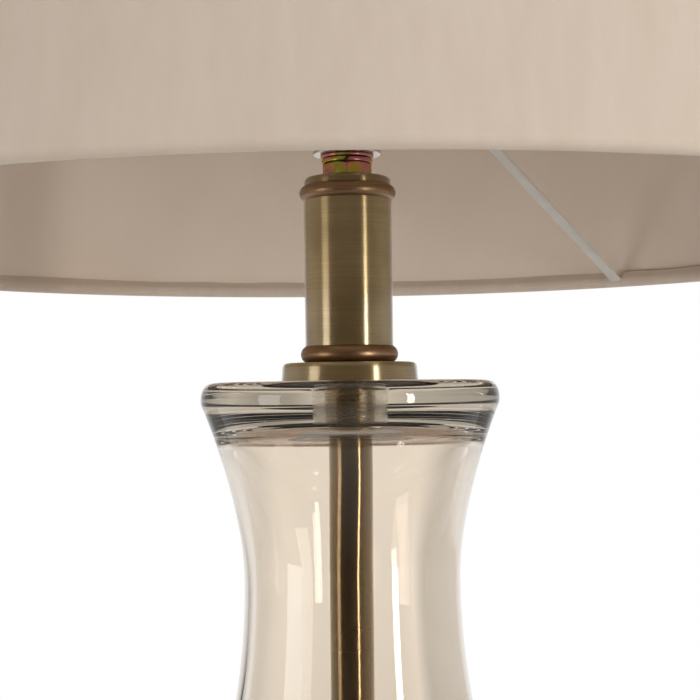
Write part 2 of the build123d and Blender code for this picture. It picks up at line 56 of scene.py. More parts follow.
# The middle range, which most of a noise texture keeps to.
NOISE_LOW, NOISE_HIGH = 0.35, 0.65


def node_box(name):
    """Lowest and highest corner of a frame node, as two numpy arrays in metres."""
    low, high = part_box(name)
    return np.array(low), np.array(high)


def linear(code):
    """An sRGB hex colour such as "c8b8a9", as the linear RGBA that a shader takes."""
    srgb = np.array([int(code[i : i + 2], 16) for i in (0, 2, 4)]) / 255
    rgb = np.where(srgb <= 0.04045, srgb / 12.92, ((srgb + 0.055) / 1.055) ** 2.4)
    return (*(float(channel) for channel in rgb), 1.0)


# --- Shapes -------------------------------------------------------------------


def arcs_at(corners, steps=5):
    """Closed outline of a section from its corners, each (radius, height, rounding) in
    millimetres. A corner becomes an arc: its centre lies on the line that halves the
    corner, and the arc's points are the weighted sum of the two end spokes, with weights
    sin((1 - u) a) / sin a and sin(u a) / sin a, where a is the turn. Four more points
    stand on the straight to the next corner. Metres."""
    c = np.array(corners, float) * MM
    p, radius = c[:, :2], c[:, 2:3]
    back, ahead = np.roll(p, 1, 0) - p, np.roll(p, -1, 0) - p
    back /= np.linalg.norm(back, axis=1, keepdims=True)
    ahead /= np.linalg.norm(ahead, axis=1, keepdims=True)
    half = np.arccos(np.clip((back * ahead).sum(1, keepdims=True), -1, 1)) / 2
    cut = radius / np.tan(half)
    start, end = p + back * cut, p + ahead * cut
    middle = (back + ahead) / np.linalg.norm(back + ahead, axis=1, keepdims=True)
    centre = p + middle * radius / np.sin(half)
    turn = (math.pi - 2 * half)[:, None]
    u = np.linspace(0, 1, steps)[None, :, None]
    first, last = (start - centre)[:, None], (end - centre)[:, None]
    arcs = centre[:, None] + (np.sin((1 - u) * turn) * first + np.sin(u * turn) * last) / np.sin(turn)
    share = np.array([0.03, 0.3, 0.7, 0.97])[None, :, None]
    straights = end[:, None] * (1 - share) + np.roll(start, -1, 0)[:, None] * share
    return np.concatenate([arcs, straights], 1).reshape(-1, 2)


def cubic(a, b, c, d, count):
    """Points of the cubic curve (1-t)^3 a + 3(1-t)^2 t b + 3(1-t) t^2 c + t^3 d, without its end."""
    t = np.arange(count)[:, None] / count
    a, b, c, d = (np.array(point, float) for point in (a, b, c, d))
    return (1 - t) ** 3 * a + 3 * (1 - t) ** 2 * t * b + 3 * (1 - t) * t**2 * c + t**3 * d


def closed_surface(name, points, finishes, face_finish=None, crease=34):
    """Mesh object from points[i, j], a surface that closes on itself both ways. Corner
    (i, j) joins (i+1, j), (i+1, j+1) and (i, j+1). The faces are turned over if the
    signed volume, the sum of a . (b x c) / 6 over the triangles, comes out negative."""
    rows, columns = points.shape[:2]
    i, j = np.meshgrid(np.arange(rows), np.arange(columns), indexing="ij")
    i2, j2 = (i + 1) % rows, (j + 1) % columns
    corners = [i * columns + j, i2 * columns + j, i2 * columns + j2, i * columns + j2]
    quads = np.stack(corners, -1).reshape(-1, 4)
    flat = points.reshape(-1, 3)
    a, b, c, d = (flat[quads[:, k]] for k in range(4))
    volume = (a * np.cross(b, c)).sum() + (a * np.cross(c, d)).sum()
    if volume < 0:
        quads = quads[:, ::-1]
    mesh = bpy.data.meshes.new(name)
    mesh.from_pydata(flat, [], quads)
    mesh.shade_smooth()
    mesh.set_sharp_from_angle(angle=math.radians(crease))
    for finish in finishes:
        mesh.materials.append(finish)
    if face_finish is not None:
        mesh.polygons.foreach_set("material_index", face_finish.reshape(-1).astype(np.int32))
    mesh.update()
    thing = bpy.data.objects.new(name, mesh)
    bpy.context.scene.collection.objects.link(thing)
    return thing


def closed_tube(name, grid, finish):
    """Mesh object from grid[i, j], rings of points along a run, with both ends capped by
    one many-sided face. The faces are turned over if the signed volume round the middle,
    summed as in closed_surface, comes out negative."""
    rows, columns = grid.shape[:2]
    i, j = np.meshgrid(np.arange(rows - 1), np.arange(columns), indexing="ij")
    j2 = (j + 1) % columns
    near, far = i * columns, (i + 1) * columns
    quads = np.stack([near + j, near + j2, far + j2, far + j], -1).reshape(-1, 4)
    faces = quads.tolist() + [list(range(columns))[::-1], list(range((rows - 1) * columns, rows * columns))]
    mesh = bpy.data.meshes.new(name)
    mesh.from_pydata(grid.reshape(-1, 3), [], faces)
    flat = grid.reshape(-1, 3) - grid.mean((0, 1))
    a, b, c, d = (flat[quads[:, k]] for k in range(4))
    if (a * np.cross(b, c)).sum() + (a * np.cross(c, d)).sum() < 0:
        mesh.flip_normals()
    mesh.shade_smooth()
    mesh.set_sharp_from_angle(angle=math.radians(40))
    mesh.materials.append(finish)
    thing = bpy.data.objects.new(name, mesh)
    bpy.context.scene.collection.objects.link(thing)
    return thing


def lathed(outline, angles):
    """Grid of a surface of revolution: (r cos a, r sin a, z) for each outline point (r, z)
    and each angle a. The outline may also be an array of one outline for each angle."""
    if outline.ndim == 2:
        outline = np.repeat(outline[:, None], len(angles), 1)
    r, z = outline[..., 0], outline[..., 1]
    return np.stack([r * np.cos(angles), r * np.sin(angles), z], -1)


def around(count):
    """Angles of evenly spaced columns round the lamp's axis."""
    return np.arange(count) * TURN / count


def screwed(outline, angles, wall, pitch, depth, low, high):
    """Grid of a turned piece with a rolled thread: where wall is true, the radius gets
    depth * (cos(2 pi (z / pitch - a / 2 pi)) - 1) / 2, which climbs one pitch a turn and
    fades in over half a pitch at either end, low and high."""
    r, z = outline[:, None, 0], outline[:, None, 1]
    fade = np.clip((z - low) / (pitch / 2), 0, 1) * np.clip((high - z) / (pitch / 2), 0, 1)
    wave = (np.cos(TURN * z / pitch - angles[None]) - 1) / 2
    r = r + np.where(wall[:, None], depth * fade * wave, 0)
    return lathed(np.stack([r, z + 0 * angles[None]], -1), angles)


def put(thing, body, slot, *nodes):
    """Hangs a new piece on its body, in place of the frame nodes that it stands for."""
    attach(thing, body)
    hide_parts(*nodes)
    return thing


def dress(name, finish):
    """Gives a frame node its finish."""
    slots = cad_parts[name].data.materials
    slots.clear()
    slots.append(finish)


# --- Finishes -----------------------------------------------------------------


def add_node(tree, kind, inputs=None, **settings):
    """Adds a node, sets its settings, and links or sets its inputs by name or number."""
    made = tree.nodes.new(kind)
    for key, value in settings.items():
        setattr(made, key, value)
    for key, value in (inputs or {}).items():
        socket = made.inputs[key]
        if isinstance(value, bpy.types.NodeSocket):
            tree.links.new(value, socket)
        else:
            socket.default_value = value
    return made


def new_finish(name):
    """A material without nodes, and its node tree."""
    material = bpy.data.materials.new(name)
    material.use_nodes = True
    material.node_tree.nodes.clear()
    return material, material.node_tree


def place_on_piece(tree, stretch=(1, 1, 1)):
    """The point on the piece, in metres, stretched along each axis."""
    place = add_node(tree, "ShaderNodeTexCoord").outputs["Object"]
    return add_node(tree, "ShaderNodeMapping", {"Vector": place, "Scale": stretch}).outputs[0]


def turned_place(tree, line_mm, drift_mm):
    """A place for marks left by turning or brushing round the axis: they repeat every
    line_mm along height plus radius, and drift over drift_mm round the piece."""
    place = add_node(tree, "ShaderNodeTexCoord").outputs["Object"]
    height = add_node(tree, "ShaderNodeSeparateXYZ", {0: place}).outputs[2]
    flat = add_node(tree, "ShaderNodeVectorMath", {0: place, 1: (1, 1, 0)}, operation="MULTIPLY").outputs[0]
    radius = add_node(tree, "ShaderNodeVectorMath", {0: flat}, operation="LENGTH").outputs["Value"]
    run = add_node(tree, "ShaderNodeMath", {0: height, 1: radius}, operation="ADD").outputs[0]
    line = add_node(tree, "ShaderNodeMath", {0: run, 1: 1 / (line_mm * MM)}, operation="MULTIPLY").outputs[0]
    drift = (1 / (drift_mm * MM), 1 / (drift_mm * MM), 0)
    slow = add_node(tree, "ShaderNodeVectorMath", {0: flat, 1: drift}, operation="MULTIPLY").outputs[0]
    rise = add_node(tree, "ShaderNodeCombineXYZ", {2: line}).outputs[0]
    return add_node(tree, "ShaderNodeVectorMath", {0: slow, 1: rise}, operation="ADD").outputs[0]


def brushed_brass(name, light, dark, roughness, relief=0.15, line_mm=0.3):
    """Antique brass, brushed round the axis and lacquered: fine level lines, and a
    highlight drawn out across them into an upright streak."""
    material, tree = new_finish(name)
    # Brushing leaves lines of about 0.1 mm; they are drawn 0.3 mm apart so that they show.
    place = turned_place(tree, line_mm, 60)
    fine = {"Vector": place, "Scale": 1.0, "Detail": 3.0, "Roughness": 0.7}
    lines = add_node(tree, "ShaderNodeTexNoise", fine).outputs[0]
    broad = {"Vector": place_on_piece(tree), "Scale": 1 / (11.11 * MM), "Detail": 2.0}
    cloud = add_node(tree, "ShaderNodeTexNoise", broad).outputs[0]
    both = add_node(tree, "ShaderNodeMath", {0: lines, 1: cloud}, operation="ADD").outputs[0]
    share = add_node(tree, "ShaderNodeMapRange", {0: both, 1: 0.72, 2: 1.28}).outputs[0]
    tones = {0: share, 6: linear(light), 7: linear(dark)}
    tone = add_node(tree, "ShaderNodeMix", tones, data_type="RGBA").outputs[2]
    grades = {0: lines, 1: NOISE_LOW, 2: NOISE_HIGH, 3: roughness - 0.02, 4: roughness + 0.03}
    rough = add_node(tree, "ShaderNodeMapRange", grades).outputs[0]
    depth = {"Strength": relief, "Distance": 0.01 * MM, "Height": lines}
    bump = add_node(tree, "ShaderNodeBump", depth).outputs[0]
    round_axis = add_node(tree, "ShaderNodeTangent", direction_type="RADIAL", axis="Z").outputs[0]
    sockets = {
        "Base Color": tone,
        "Metallic": 1.0,
        "Roughness": rough,
        "Anisotropic": 1.0,
        "Anisotropic Rotation": 0.25,
        "Tangent": round_axis,
        "Coat Weight": 1.0,
        "Coat Roughness": 0.14,
        "Normal": bump,
    }
    skin = add_node(tree, "ShaderNodeBsdfPrincipled", sockets).outputs[0]
    add_node(tree, "ShaderNodeOutputMaterial", {"Surface": skin})
    return material


def darkened_bronze():
    """Darkened bronze, turned and waxed: coppery brown, satin, with faint tool lines."""
    material, tree = new_finish("darkened_bronze")
    # Tool lines of about 0.2 mm are drawn 0.6 mm apart so that they show.
    marks = {"Vector": turned_place(tree, 0.6, 25), "Scale": 1.0, "Detail": 2.0, "Roughness": 0.6}
    lines = add_node(tree, "ShaderNodeTexNoise", marks).outputs[0]
    share = add_node(tree, "ShaderNodeMapRange", {0: lines, 1: NOISE_LOW, 2: NOISE_HIGH}).outputs[0]
    tones = {0: share, 6: linear("9c8063"), 7: linear("826548")}
    tone = add_node(tree, "ShaderNodeMix", tones, data_type="RGBA").outputs[2]
    grades = {0: lines, 1: NOISE_LOW, 2: NOISE_HIGH, 3: 0.34, 4: 0.44}
    rough = add_node(tree, "ShaderNodeMapRange", grades).outputs[0]
    depth = {"Strength": 0.2, "Distance": 0.02 * MM, "Height": lines}
    bump = add_node(tree, "ShaderNodeBump", depth).outputs[0]
    sockets = {"Base Color": tone, "Metallic": 1.0, "Roughness": rough, "Normal": bump}
    skin = add_node(tree, "ShaderNodeBsdfPrincipled", sockets).outputs[0]
    add_node(tree, "ShaderNodeOutputMaterial", {"Surface": skin})
    return material


def yellow_zinc():
    """Zinc plate with a yellow passivate: thin enough to show rose, straw and green
    patches a few millimetres wide."""
    material, tree = new_finish("yellow_zinc")
    film = {"Vector": place_on_piece(tree), "Scale": 1 / (4.348 * MM), "Detail": 1.0, "Distortion": 0.4}
    patches = add_node(tree, "ShaderNodeTexNoise", film).outputs[0]
    share = add_node(tree, "ShaderNodeMapRange", {0: patches, 1: 0.3, 2: 0.7}).outputs[0]
    ramp = add_node(tree, "ShaderNodeValToRGB", {0: share})
    stops = ramp.color_ramp.elements
    stops[0].color, stops[1].color = linear("b8767f"), linear("c9b46a")
    for place, code in ((0.45, "c48a72"), (0.62, "b3973f"), (0.8, "9aa04a")):
        stops.new(place).color = linear(code)
    sockets = {"Base Color": ramp.outputs[0], "Metallic": 1.0, "Roughness": 0.3}
    skin = add_node(tree, "ShaderNodeBsdfPrincipled", sockets).outputs[0]
    add_node(tree, "ShaderNodeOutputMaterial", {"Surface": skin})
    return material


def bright_nickel():
    """Bright nickel plate on pressed steel: pale, mirror like, faintly rolled."""
    material, tree = new_finish("bright_nickel")
    broad = {"Vector": place_on_piece(tree), "Scale": 1 / (6.25 * MM), "Detail": 3.0}
    cloud = add_node(tree, "ShaderNodeTexNoise", broad).outputs[0]
    share = add_node(tree, "ShaderNodeMapRange", {0: cloud, 1: NOISE_LOW, 2: NOISE_HIGH}).outputs[0]
    tones = {0: share, 6: linear("d9d5cd"), 7: linear("c3beb6")}
    tone = add_node(tree, "ShaderNodeMix", tones, data_type="RGBA").outputs[2]
    grades = {0: cloud, 1: NOISE_LOW, 2: NOISE_HIGH, 3: 0.1, 4: 0.2}
    rough = add_node(tree, "ShaderNodeMapRange", grades).outputs[0]
    sockets = {"Base Color": tone, "Metallic": 1.0, "Roughness": rough}
    skin = add_node(tree, "ShaderNodeBsdfPrincipled", sockets).outputs[0]
    add_node(tree, "ShaderNodeOutputMaterial", {"Surface": skin})
    return material


def blown_glass(tint):
    """Blown glass with a champagne tint, fire polished: clear, with faint ripples."""
    material, tree = new_finish("blown_glass")
    waves = {"Vector": place_on_piece(tree, (1, 1, 0.35)), "Scale": 1 / (22.22 * MM), "Detail": 1.0}
    ripple = add_node(tree, "ShaderNodeTexNoise", waves).outputs[0]
    depth = {"Strength": 0.25, "Distance": 0.12 * MM, "Height": ripple}
    bump = add_node(tree, "ShaderNodeBump", depth).outputs[0]
    clear = {"Base Color": tint, "Transmission Weight": 1.0, "IOR": 1.5, "Roughness": 0.0, "Normal": bump}
    skin = add_node(tree, "ShaderNodeBsdfPrincipled", clear).outputs[0]
    # Clear glass lets light through to the rod and the table, so its shadow is pale.
    lit = add_node(tree, "ShaderNodeBsdfTransparent", {"Color": tint}).outputs[0]
    shadow = add_node(tree, "ShaderNodeLightPath").outputs["Is Shadow Ray"]
    skin = add_node(tree, "ShaderNodeMixShader", {0: shadow, 1: skin, 2: lit}).outputs[0]
    # Thick glass takes a little more light, and more of the blue, than thin glass.
    taken = {"Color": (0.3, 0.2, 0.0, 1), "Density": 8.0}
    body = add_node(tree, "ShaderNodeVolumeAbsorption", taken).outputs[0]
    add_node(tree, "ShaderNodeOutputMaterial", {"Surface": skin, "Volume": body})
    return material


def ground_glass():
    """The drilled bore and the ground foot of the glass: grey, frosted by the grit."""
    material, tree = new_finish("ground_glass")
    # The grit's scratches are about 0.1 mm; they are drawn at 0.4 mm so that they show.
    marks = {"Vector": turned_place(tree, 0.4, 4), "Scale": 1.0, "Detail": 4.0}
    grit = add_node(tree, "ShaderNodeTexNoise", marks).outputs[0]
    share = add_node(tree, "ShaderNodeMapRange", {0: grit, 1: NOISE_LOW, 2: NOISE_HIGH}).outputs[0]
    tones = {0: share, 6: linear("b8a985"), 7: linear("998b6a")}
    tone = add_node(tree, "ShaderNodeMix", tones, data_type="RGBA").outputs[2]
    grades = {0: grit, 1: NOISE_LOW, 2: NOISE_HIGH, 3: 0.22, 4: 0.4}
    rough = add_node(tree, "ShaderNodeMapRange", grades).outputs[0]
    sockets = {"Base Color": tone, "Transmission Weight": 0.86, "IOR": 1.5, "Roughness": rough}
    skin = add_node(tree, "ShaderNodeBsdfPrincipled", sockets).outputs[0]
    add_node(tree, "ShaderNodeOutputMaterial", {"Surface": skin})
    return material


def shade_velvet(light, dark):
    """Short pile velvet laminated to a stiff lining: matt, soft at the edges, with pile
    that leans a little this way and that in upright strokes."""
    material, tree = new_finish("shade_velvet")
    place = place_on_piece(tree, (1, 1, 0.22))
    upright = {"Vector": place, "Scale": 1 / (5.263 * MM), "Detail": 4.0, "Roughness": 0.6}
    strokes = add_node(tree, "ShaderNodeTexNoise", upright).outputs[0]
    share = add_node(tree, "ShaderNodeMapRange", {0: strokes, 1: 0.25, 2: 0.75}).outputs[0]
    tone = add_node(tree, "ShaderNodeMix", {0: share, 6: light, 7: dark}, data_type="RGBA").outputs[2]
    # The pile is about 0.2 mm a tuft; it is drawn at 0.6 mm so that it shows.
    pile = {"Vector": place_on_piece(tree), "Scale": 1 / (0.5882 * MM), "Detail": 2.0}
    tufts = add_node(tree, "ShaderNodeTexNoise", pile).outputs[0]
    depth = {"Strength": 0.2, "Distance": 0.05 * MM, "Height": tufts}
    bump = add_node(tree, "ShaderNodeBump", depth).outputs[0]
    soft = {"Roughness": 0.9, "Sheen Weight": 0.25, "Sheen Roughness": 0.5}
    sockets = {"Base Color": tone, **soft, "Normal": bump}
    skin = add_node(tree, "ShaderNodeBsdfPrincipled", sockets).outputs[0]
    add_node(tree, "ShaderNodeOutputMaterial", {"Surface": skin})
    return material


def cloth_edge_and_painted_shade():
    """The cut edge of the cloth: brown past the first arm, for the backing that shows there and as painted
    shade of the gap under the hem's tip.
    """
    material, tree = new_finish("cloth_edge_and_painted_shade")
    # The backing's threads are about 0.4 mm apart; they are drawn at 1.1 mm so that they show.
    threads = {"Vector": place_on_piece(tree), "Scale": 1 / (1.111 * MM), "Detail": 3.0}
    fray = add_node(tree, "ShaderNodeTexNoise", threads).outputs[0]
    share = add_node(tree, "ShaderNodeMapRange", {0: fray, 1: NOISE_LOW, 2: NOISE_HIGH}).outputs[0]
    browns = {0: share, 6: linear("5c3c2c"), 7: linear("7d5c48")}
    brown = add_node(tree, "ShaderNodeMix", browns, data_type="RGBA").outputs[2]
    # On the left it takes the cloth's pale tone; past the first arm, where the hem stands open, it is brown,
    # partly painted shade of the gap behind the tip.
    side = add_node(tree, "ShaderNodeSeparateXYZ", {0: place_on_piece(tree)}).outputs[0]
    painted_gap_share = add_node(tree, "ShaderNodeMapRange", {0: side, 1: 0.1, 2: 0.112}).outputs[0]
    edge = {0: painted_gap_share, 6: linear("c9b8a6"), 7: brown}
    tone = add_node(tree, "ShaderNodeMix", edge, data_type="RGBA").outputs[2]
    sockets = {"Base Color": tone, "Roughness": 0.95}
    skin = add_node(tree, "ShaderNodeBsdfPrincipled", sockets).outputs[0]
    add_node(tree, "ShaderNodeOutputMaterial", {"Surface": skin})
    return material


def laminated_lining(light, dark):
    """Stiff laminated lining, rolled smooth: matt, with a faint cloudiness."""
    material, tree = new_finish("laminated_lining")
    place = place_on_piece(tree, (1, 1, 0.5))
    broad = {"Vector": place, "Scale": 1 / (33.33 * MM), "Detail": 4.0, "Roughness": 0.55}
    cloud = add_node(tree, "ShaderNodeTexNoise", broad).outputs[0]
    share = add_node(tree, "ShaderNodeMapRange", {0: cloud, 1: 0.25, 2: 0.75}).outputs[0]
    tones = {0: share, 6: linear(light), 7: linear(dark)}
    tone = add_node(tree, "ShaderNodeMix", tones, data_type="RGBA").outputs[2]
    # The film's grain is about 0.3 mm; it is drawn at 0.9 mm so that it shows.
    fine = {"Vector": place_on_piece(tree), "Scale": 1 / (0.9091 * MM), "Detail": 2.0}
    grain = add_node(tree, "ShaderNodeTexNoise", fine).outputs[0]
    depth = {"Strength": 0.12, "Distance": 0.05 * MM, "Height": grain}
    bump = add_node(tree, "ShaderNodeBump", depth).outputs[0]
    sockets = {"Base Color": tone, "Roughness": 0.62, "Normal": bump}
    skin = add_node(tree, "ShaderNodeBsdfPrincipled", sockets).outputs[0]
    add_node(tree, "ShaderNodeOutputMaterial", {"Surface": skin})
    return material


def dipped(name, light, dark, roughness, coat=0.0, grain_mm=1.2, relief_mm=0.02, **more):
    """Enamel, moulding compound, glaze, rubber or paint: an even skin with a slight
    orange peel of grain_mm and a little change of tone."""
    material, tree = new_finish(name)
    fine = {"Vector": place_on_piece(tree), "Scale": 1 / (grain_mm * MM), "Detail": 2.0}
    peel = add_node(tree, "ShaderNodeTexNoise", fine).outputs[0]
    broad = {"Vector": place_on_piece(tree), "Scale": 1 / (16.67 * MM), "Detail": 2.0}
    cloud = add_node(tree, "ShaderNodeTexNoise", broad).outputs[0]
    share = add_node(tree, "ShaderNodeMapRange", {0: cloud, 1: NOISE_LOW, 2: NOISE_HIGH}).outputs[0]
    tones = {0: share, 6: linear(light), 7: linear(dark)}
    tone = add_node(tree, "ShaderNodeMix", tones, data_type="RGBA").outputs[2]
    grades = {0: peel, 1: NOISE_LOW, 2: NOISE_HIGH, 3: roughness - 0.04, 4: roughness + 0.05}
    rough = add_node(tree, "ShaderNodeMapRange", grades).outputs[0]
    depth = {"Strength": 0.3, "Distance": relief_mm * MM, "Height": peel}
    bump = add_node(tree, "ShaderNodeBump", depth).outputs[0]
    coated = {"Coat Weight": coat, "Coat Roughness": 0.15}
    sockets = {"Base Color": tone, "Roughness": rough, **coated, **more, "Normal": bump}
    skin = add_node(tree, "ShaderNodeBsdfPrincipled", sockets).outputs[0]
    add_node(tree, "ShaderNodeOutputMaterial", {"Surface": skin})
    return material


# --- Sizes and colours that a user would change -------------------------------


class LampGlassSettings(bpy.types.PropertyGroup):
    tint: FloatVectorProperty(
        name="Tint",
        description="Colour that white light takes through one wall",
        default=linear("faf2e9"),
        size=4,
        min=0,
        max=1,
        subtype="COLOR",
    )
    wall: FloatProperty(name="Wall", description="Thickness of the wall", default=3.5 * MM, unit="LENGTH")
    lip_radius: FloatProperty(
        name="Lip radius", description="Widest part of the flared top", default=42.96 * MM, unit="LENGTH"
    )
    waist_radius: FloatProperty(
        name="Waist radius", description="Narrowest part, under the flare", default=31.1 * MM, unit="LENGTH"
    )
    bore_radius: FloatProperty(
        name="Bore radius", description="Drilled hole for the rod", default=7.25 * MM, unit="LENGTH"
    )
    columns: IntProperty(name="Columns", description="Faces round the glass", default=224, min=32, max=256)


class LampShadeSettings(bpy.types.PropertyGroup):
    cloth_light: FloatVectorProperty(
        name="Cloth",
        description="Lighter tone of the cloth",
        default=linear("d6c7b9"),
        size=4,
        subtype="COLOR",
    )
    hem_width: FloatProperty(
        name="Hem width", description="Cloth turned in over the wire", default=3.5 * MM, unit="LENGTH"
    )
    wire_radius: FloatProperty(
        name="Wire radius", description="Half the thickness of the wires", default=1.6 * MM, unit="LENGTH"
    )
    cloth: FloatProperty(
        name="Cloth thickness", description="Cloth and its pile", default=0.8 * MM, unit="LENGTH"
    )
    lining: FloatProperty(
        name="Lining thickness", description="Stiff inner layer", default=0.5 * MM, unit="LENGTH"
    )
    notch_width: FloatProperty(
        name="Notch width", description="Cut in the hem round each arm", default=5.6 * MM, unit="LENGTH"
    )
    first_arm: FloatProperty(
        name="First arm",
        description="Direction of the first arm, from +X",
        default=math.radians(53.1),
        subtype="ANGLE",
    )


class LampStudioSettings(bpy.types.PropertyGroup):
    distance: FloatProperty(
        name="Camera distance", description="From the lamp's axis", default=0.398, unit="LENGTH"
    )
    eye_height: FloatProperty(
        name="Camera height", description="Above the table", default=0.3034, unit="LENGTH"
    )
    side_step: FloatProperty(
        name="Camera side step", description="To the right of the axis", default=0.0, unit="LENGTH"
    )
    roll: FloatProperty(
        name="Camera roll", description="Turn of the picture", default=math.radians(0.75), subtype="ANGLE"
    )
    lens: FloatProperty(name="Lens", description="Focal length in millimetres", default=70.85, min=1)
    key_glow: FloatProperty(name="Right window", description="Radiance of the right window", default=16.5)
    side_glow: FloatProperty(name="Left window", description="Radiance of the left window", default=3.2)
    soft_glow: FloatProperty(name="Right wall", description="Radiance of the pale wall", default=0.6)
    room_glow: FloatProperty(name="Room", description="Light from the whole room", default=0.32)


# --- Pieces -------------------------------------------------------------------


class LAMP_OT_glass(bpy.types.Operator):
    """Make the glass vessel, with its thick crown, ground bore and ground foot"""

    bl_idname = "lamp.glass"
    bl_label = "Glass vessel"

    def execute(self, context):
        # Millimetres: (radius, drop below the top) for each point of the section.
        s = context.scene.lamp_glass
        low, high = node_box("glass_body")
        top, tall, belly = high[2] / MM, (high[2] - low[2]) / MM, high[0] / MM
        lip, waist, bore, wall = (v / MM for v in (s.lip_radius, s.waist_radius, s.bore_radius, s.wall))
        foot, edge, slope = 50.0, 5.2, math.radians(22)
        waist_drop, belly_drop = 57, 205
        # Outside: the rounded edge is an arc, made a little squarer by the powers 0.72 and
        # 0.85, from straight up to the slope of the flare. Cubic curves join it to the
        # waist, the belly and the foot.
        centre = lip - edge
        a = np.linspace(math.pi / 2, -slope, 18)[:, None]
        above, below = np.maximum(np.sin(a), 0) ** 0.85, np.minimum(np.sin(a), 0)
        rim = np.hstack([centre + edge * np.cos(a) ** 0.72, edge * (1 - above - below)])[:-1]
        end = np.array([centre + edge * math.cos(slope), edge * (1 + math.sin(slope))])
        lean = np.array([-math.sin(slope), math.cos(slope)])
        flare = cubic(end, end + 9 * lean, (waist, waist_drop - 19), (waist, waist_drop), 30)

        def side(inset):
            """From the waist to the foot, moved in by inset."""
            w, b, f = waist - inset, belly - inset, foot - inset
            upper = cubic((w, waist_drop), (w, waist_drop + 62), (b, belly_drop - 45), (b, belly_drop), 70)
            lower = cubic((b, belly_drop), (b, belly_drop + 42), (f, tall - 30), (f, tall), 40)
            return np.vstack([upper, lower])

        outside = np.vstack([rim, flare, side(0)])
        # Foot: a flat ground ring with both edges eased by 0.6 mm.
        foot_corners = [(foot, tall, 0.6), (foot - wall, tall, 0.6), (foot - wall / 2, tall - 9, 1.0)]
        foot_ring = arcs_at(foot_corners, 5)[:14] / MM
        # Inside: the domed ceiling of the cavity, then an even wall.
        shoulder_drop, roof_drop = 18.0, 7.6
        share = (waist_drop - shoulder_drop) / (waist_drop - edge)
        shoulder = waist + (lip - waist) * share**2 - wall
        dome = [(0, roof_drop), (24.0, roof_drop), (shoulder + 8 * math.sin(slope), shoulder_drop - 8)]
        ceiling = cubic(*dome, (shoulder, shoulder_drop), 40)
        ceiling = ceiling[ceiling[:, 0] > bore + 0.9]
        hollow = [(shoulder, shoulder_drop), (shoulder - 9 * math.sin(slope), shoulder_drop + 9)]
        inner_flare = cubic(*hollow, (waist - wall, waist_drop - 14), (waist - wall, waist_drop), 24)
        inside = np.vstack([ceiling, inner_flare, side(wall)])[::-1]
        # Bore: straight and ground, with eased edges at both ends.
        drop = np.linspace(roof_drop - 0.4, 0.5, 10)[:, None]
        bore_wall = np.hstack([bore + 0 * drop, drop])
        low_edge = np.array([[bore + 0.5, roof_drop + 0.02], [bore + 0.15, roof_drop - 0.12]])
        top_edge = np.array([[bore + 0.15, 0.12], [bore + 0.5, 0.0]])
        r = np.linspace(bore + 1.5, centre - 0.4, 9)[:, None]
        crown = np.hstack([r, 0 * r])
        sections = [outside, foot_ring, inside, low_edge, bore_wall, top_edge, crown]
        number = np.concatenate([np.full(len(points), k) for k, points in enumerate(sections)])
        outline = np.vstack(sections)
        outline = np.stack([outline[:, 0], top - outline[:, 1]], -1) * MM
        angles = around(s.columns)
        grid = lathed(outline, angles)
        # The inside of blown glass is uneven round its axis: its radius changes by
        # 0.32 sin(3a + 0.5) + 0.2 sin(7a + 2) mm, fading out at the crown and the foot.
        z = outline[:, 1] / MM
        fade = np.clip((top - 26 - z) / 25, 0, 1) * np.clip((z - low[2] / MM - 30) / 40, 0, 1) * (number == 2)
        uneven = (0.32 * np.sin(3 * angles + 0.5) + 0.2 * np.sin(7 * angles + 2)) * MM
        grid[..., 0] += fade[:, None] * uneven * np.cos(angles)
        grid[..., 1] += fade[:, None] * uneven * np.sin(angles)
        # The foot ring and the bore are ground.
        ground = (number == 1) | (number == 4)
        finish_of = np.repeat((ground & np.roll(ground, -1))[:, None], len(angles), 1)
        finishes = [blown_glass(tuple(s.tint)), ground_glass()]
        glass = closed_surface("glass_vessel", grid, finishes, finish_of, 50)
        put(glass, "lamp_body", "tinted_glass", "glass_body")
        return {"FINISHED"}


class LAMP_OT_neck(bpy.types.Operator):
    """Finish the rod, the disc, the beads and the neck"""

    bl_idname = "lamp.neck"
    bl_label = "Rod and neck"

    def execute(self, context):
        brass = brushed_brass("brushed_brass", "b3a077", "9a8761", 0.33, 0.1)
        for name in ("cap_disc", "neck_tube", "foot_locator"):
            dress(name, brass)
        # The rod is drawn, not brushed, so its lines are far apart and faint. Its tones are darker than the
        # neck's brass: painted shade, for the dimmer light inside the glass.
        dress("rod_sleeve", brushed_brass("drawn_brass_painted_shade", "7d6b49", "73613f", 0.26, 0.02, 40))
        # The thin cap is given darker, browner tones than the tube.
        dress("neck_cap", brushed_brass("darker_cap_brass", "907b55", "7e6a47", 0.3, 0.04))
        bronze = darkened_bronze()
        for name in ("lower_bead", "upper_bead"):
            dress(name, bronze)
        return {"FINISHED"}


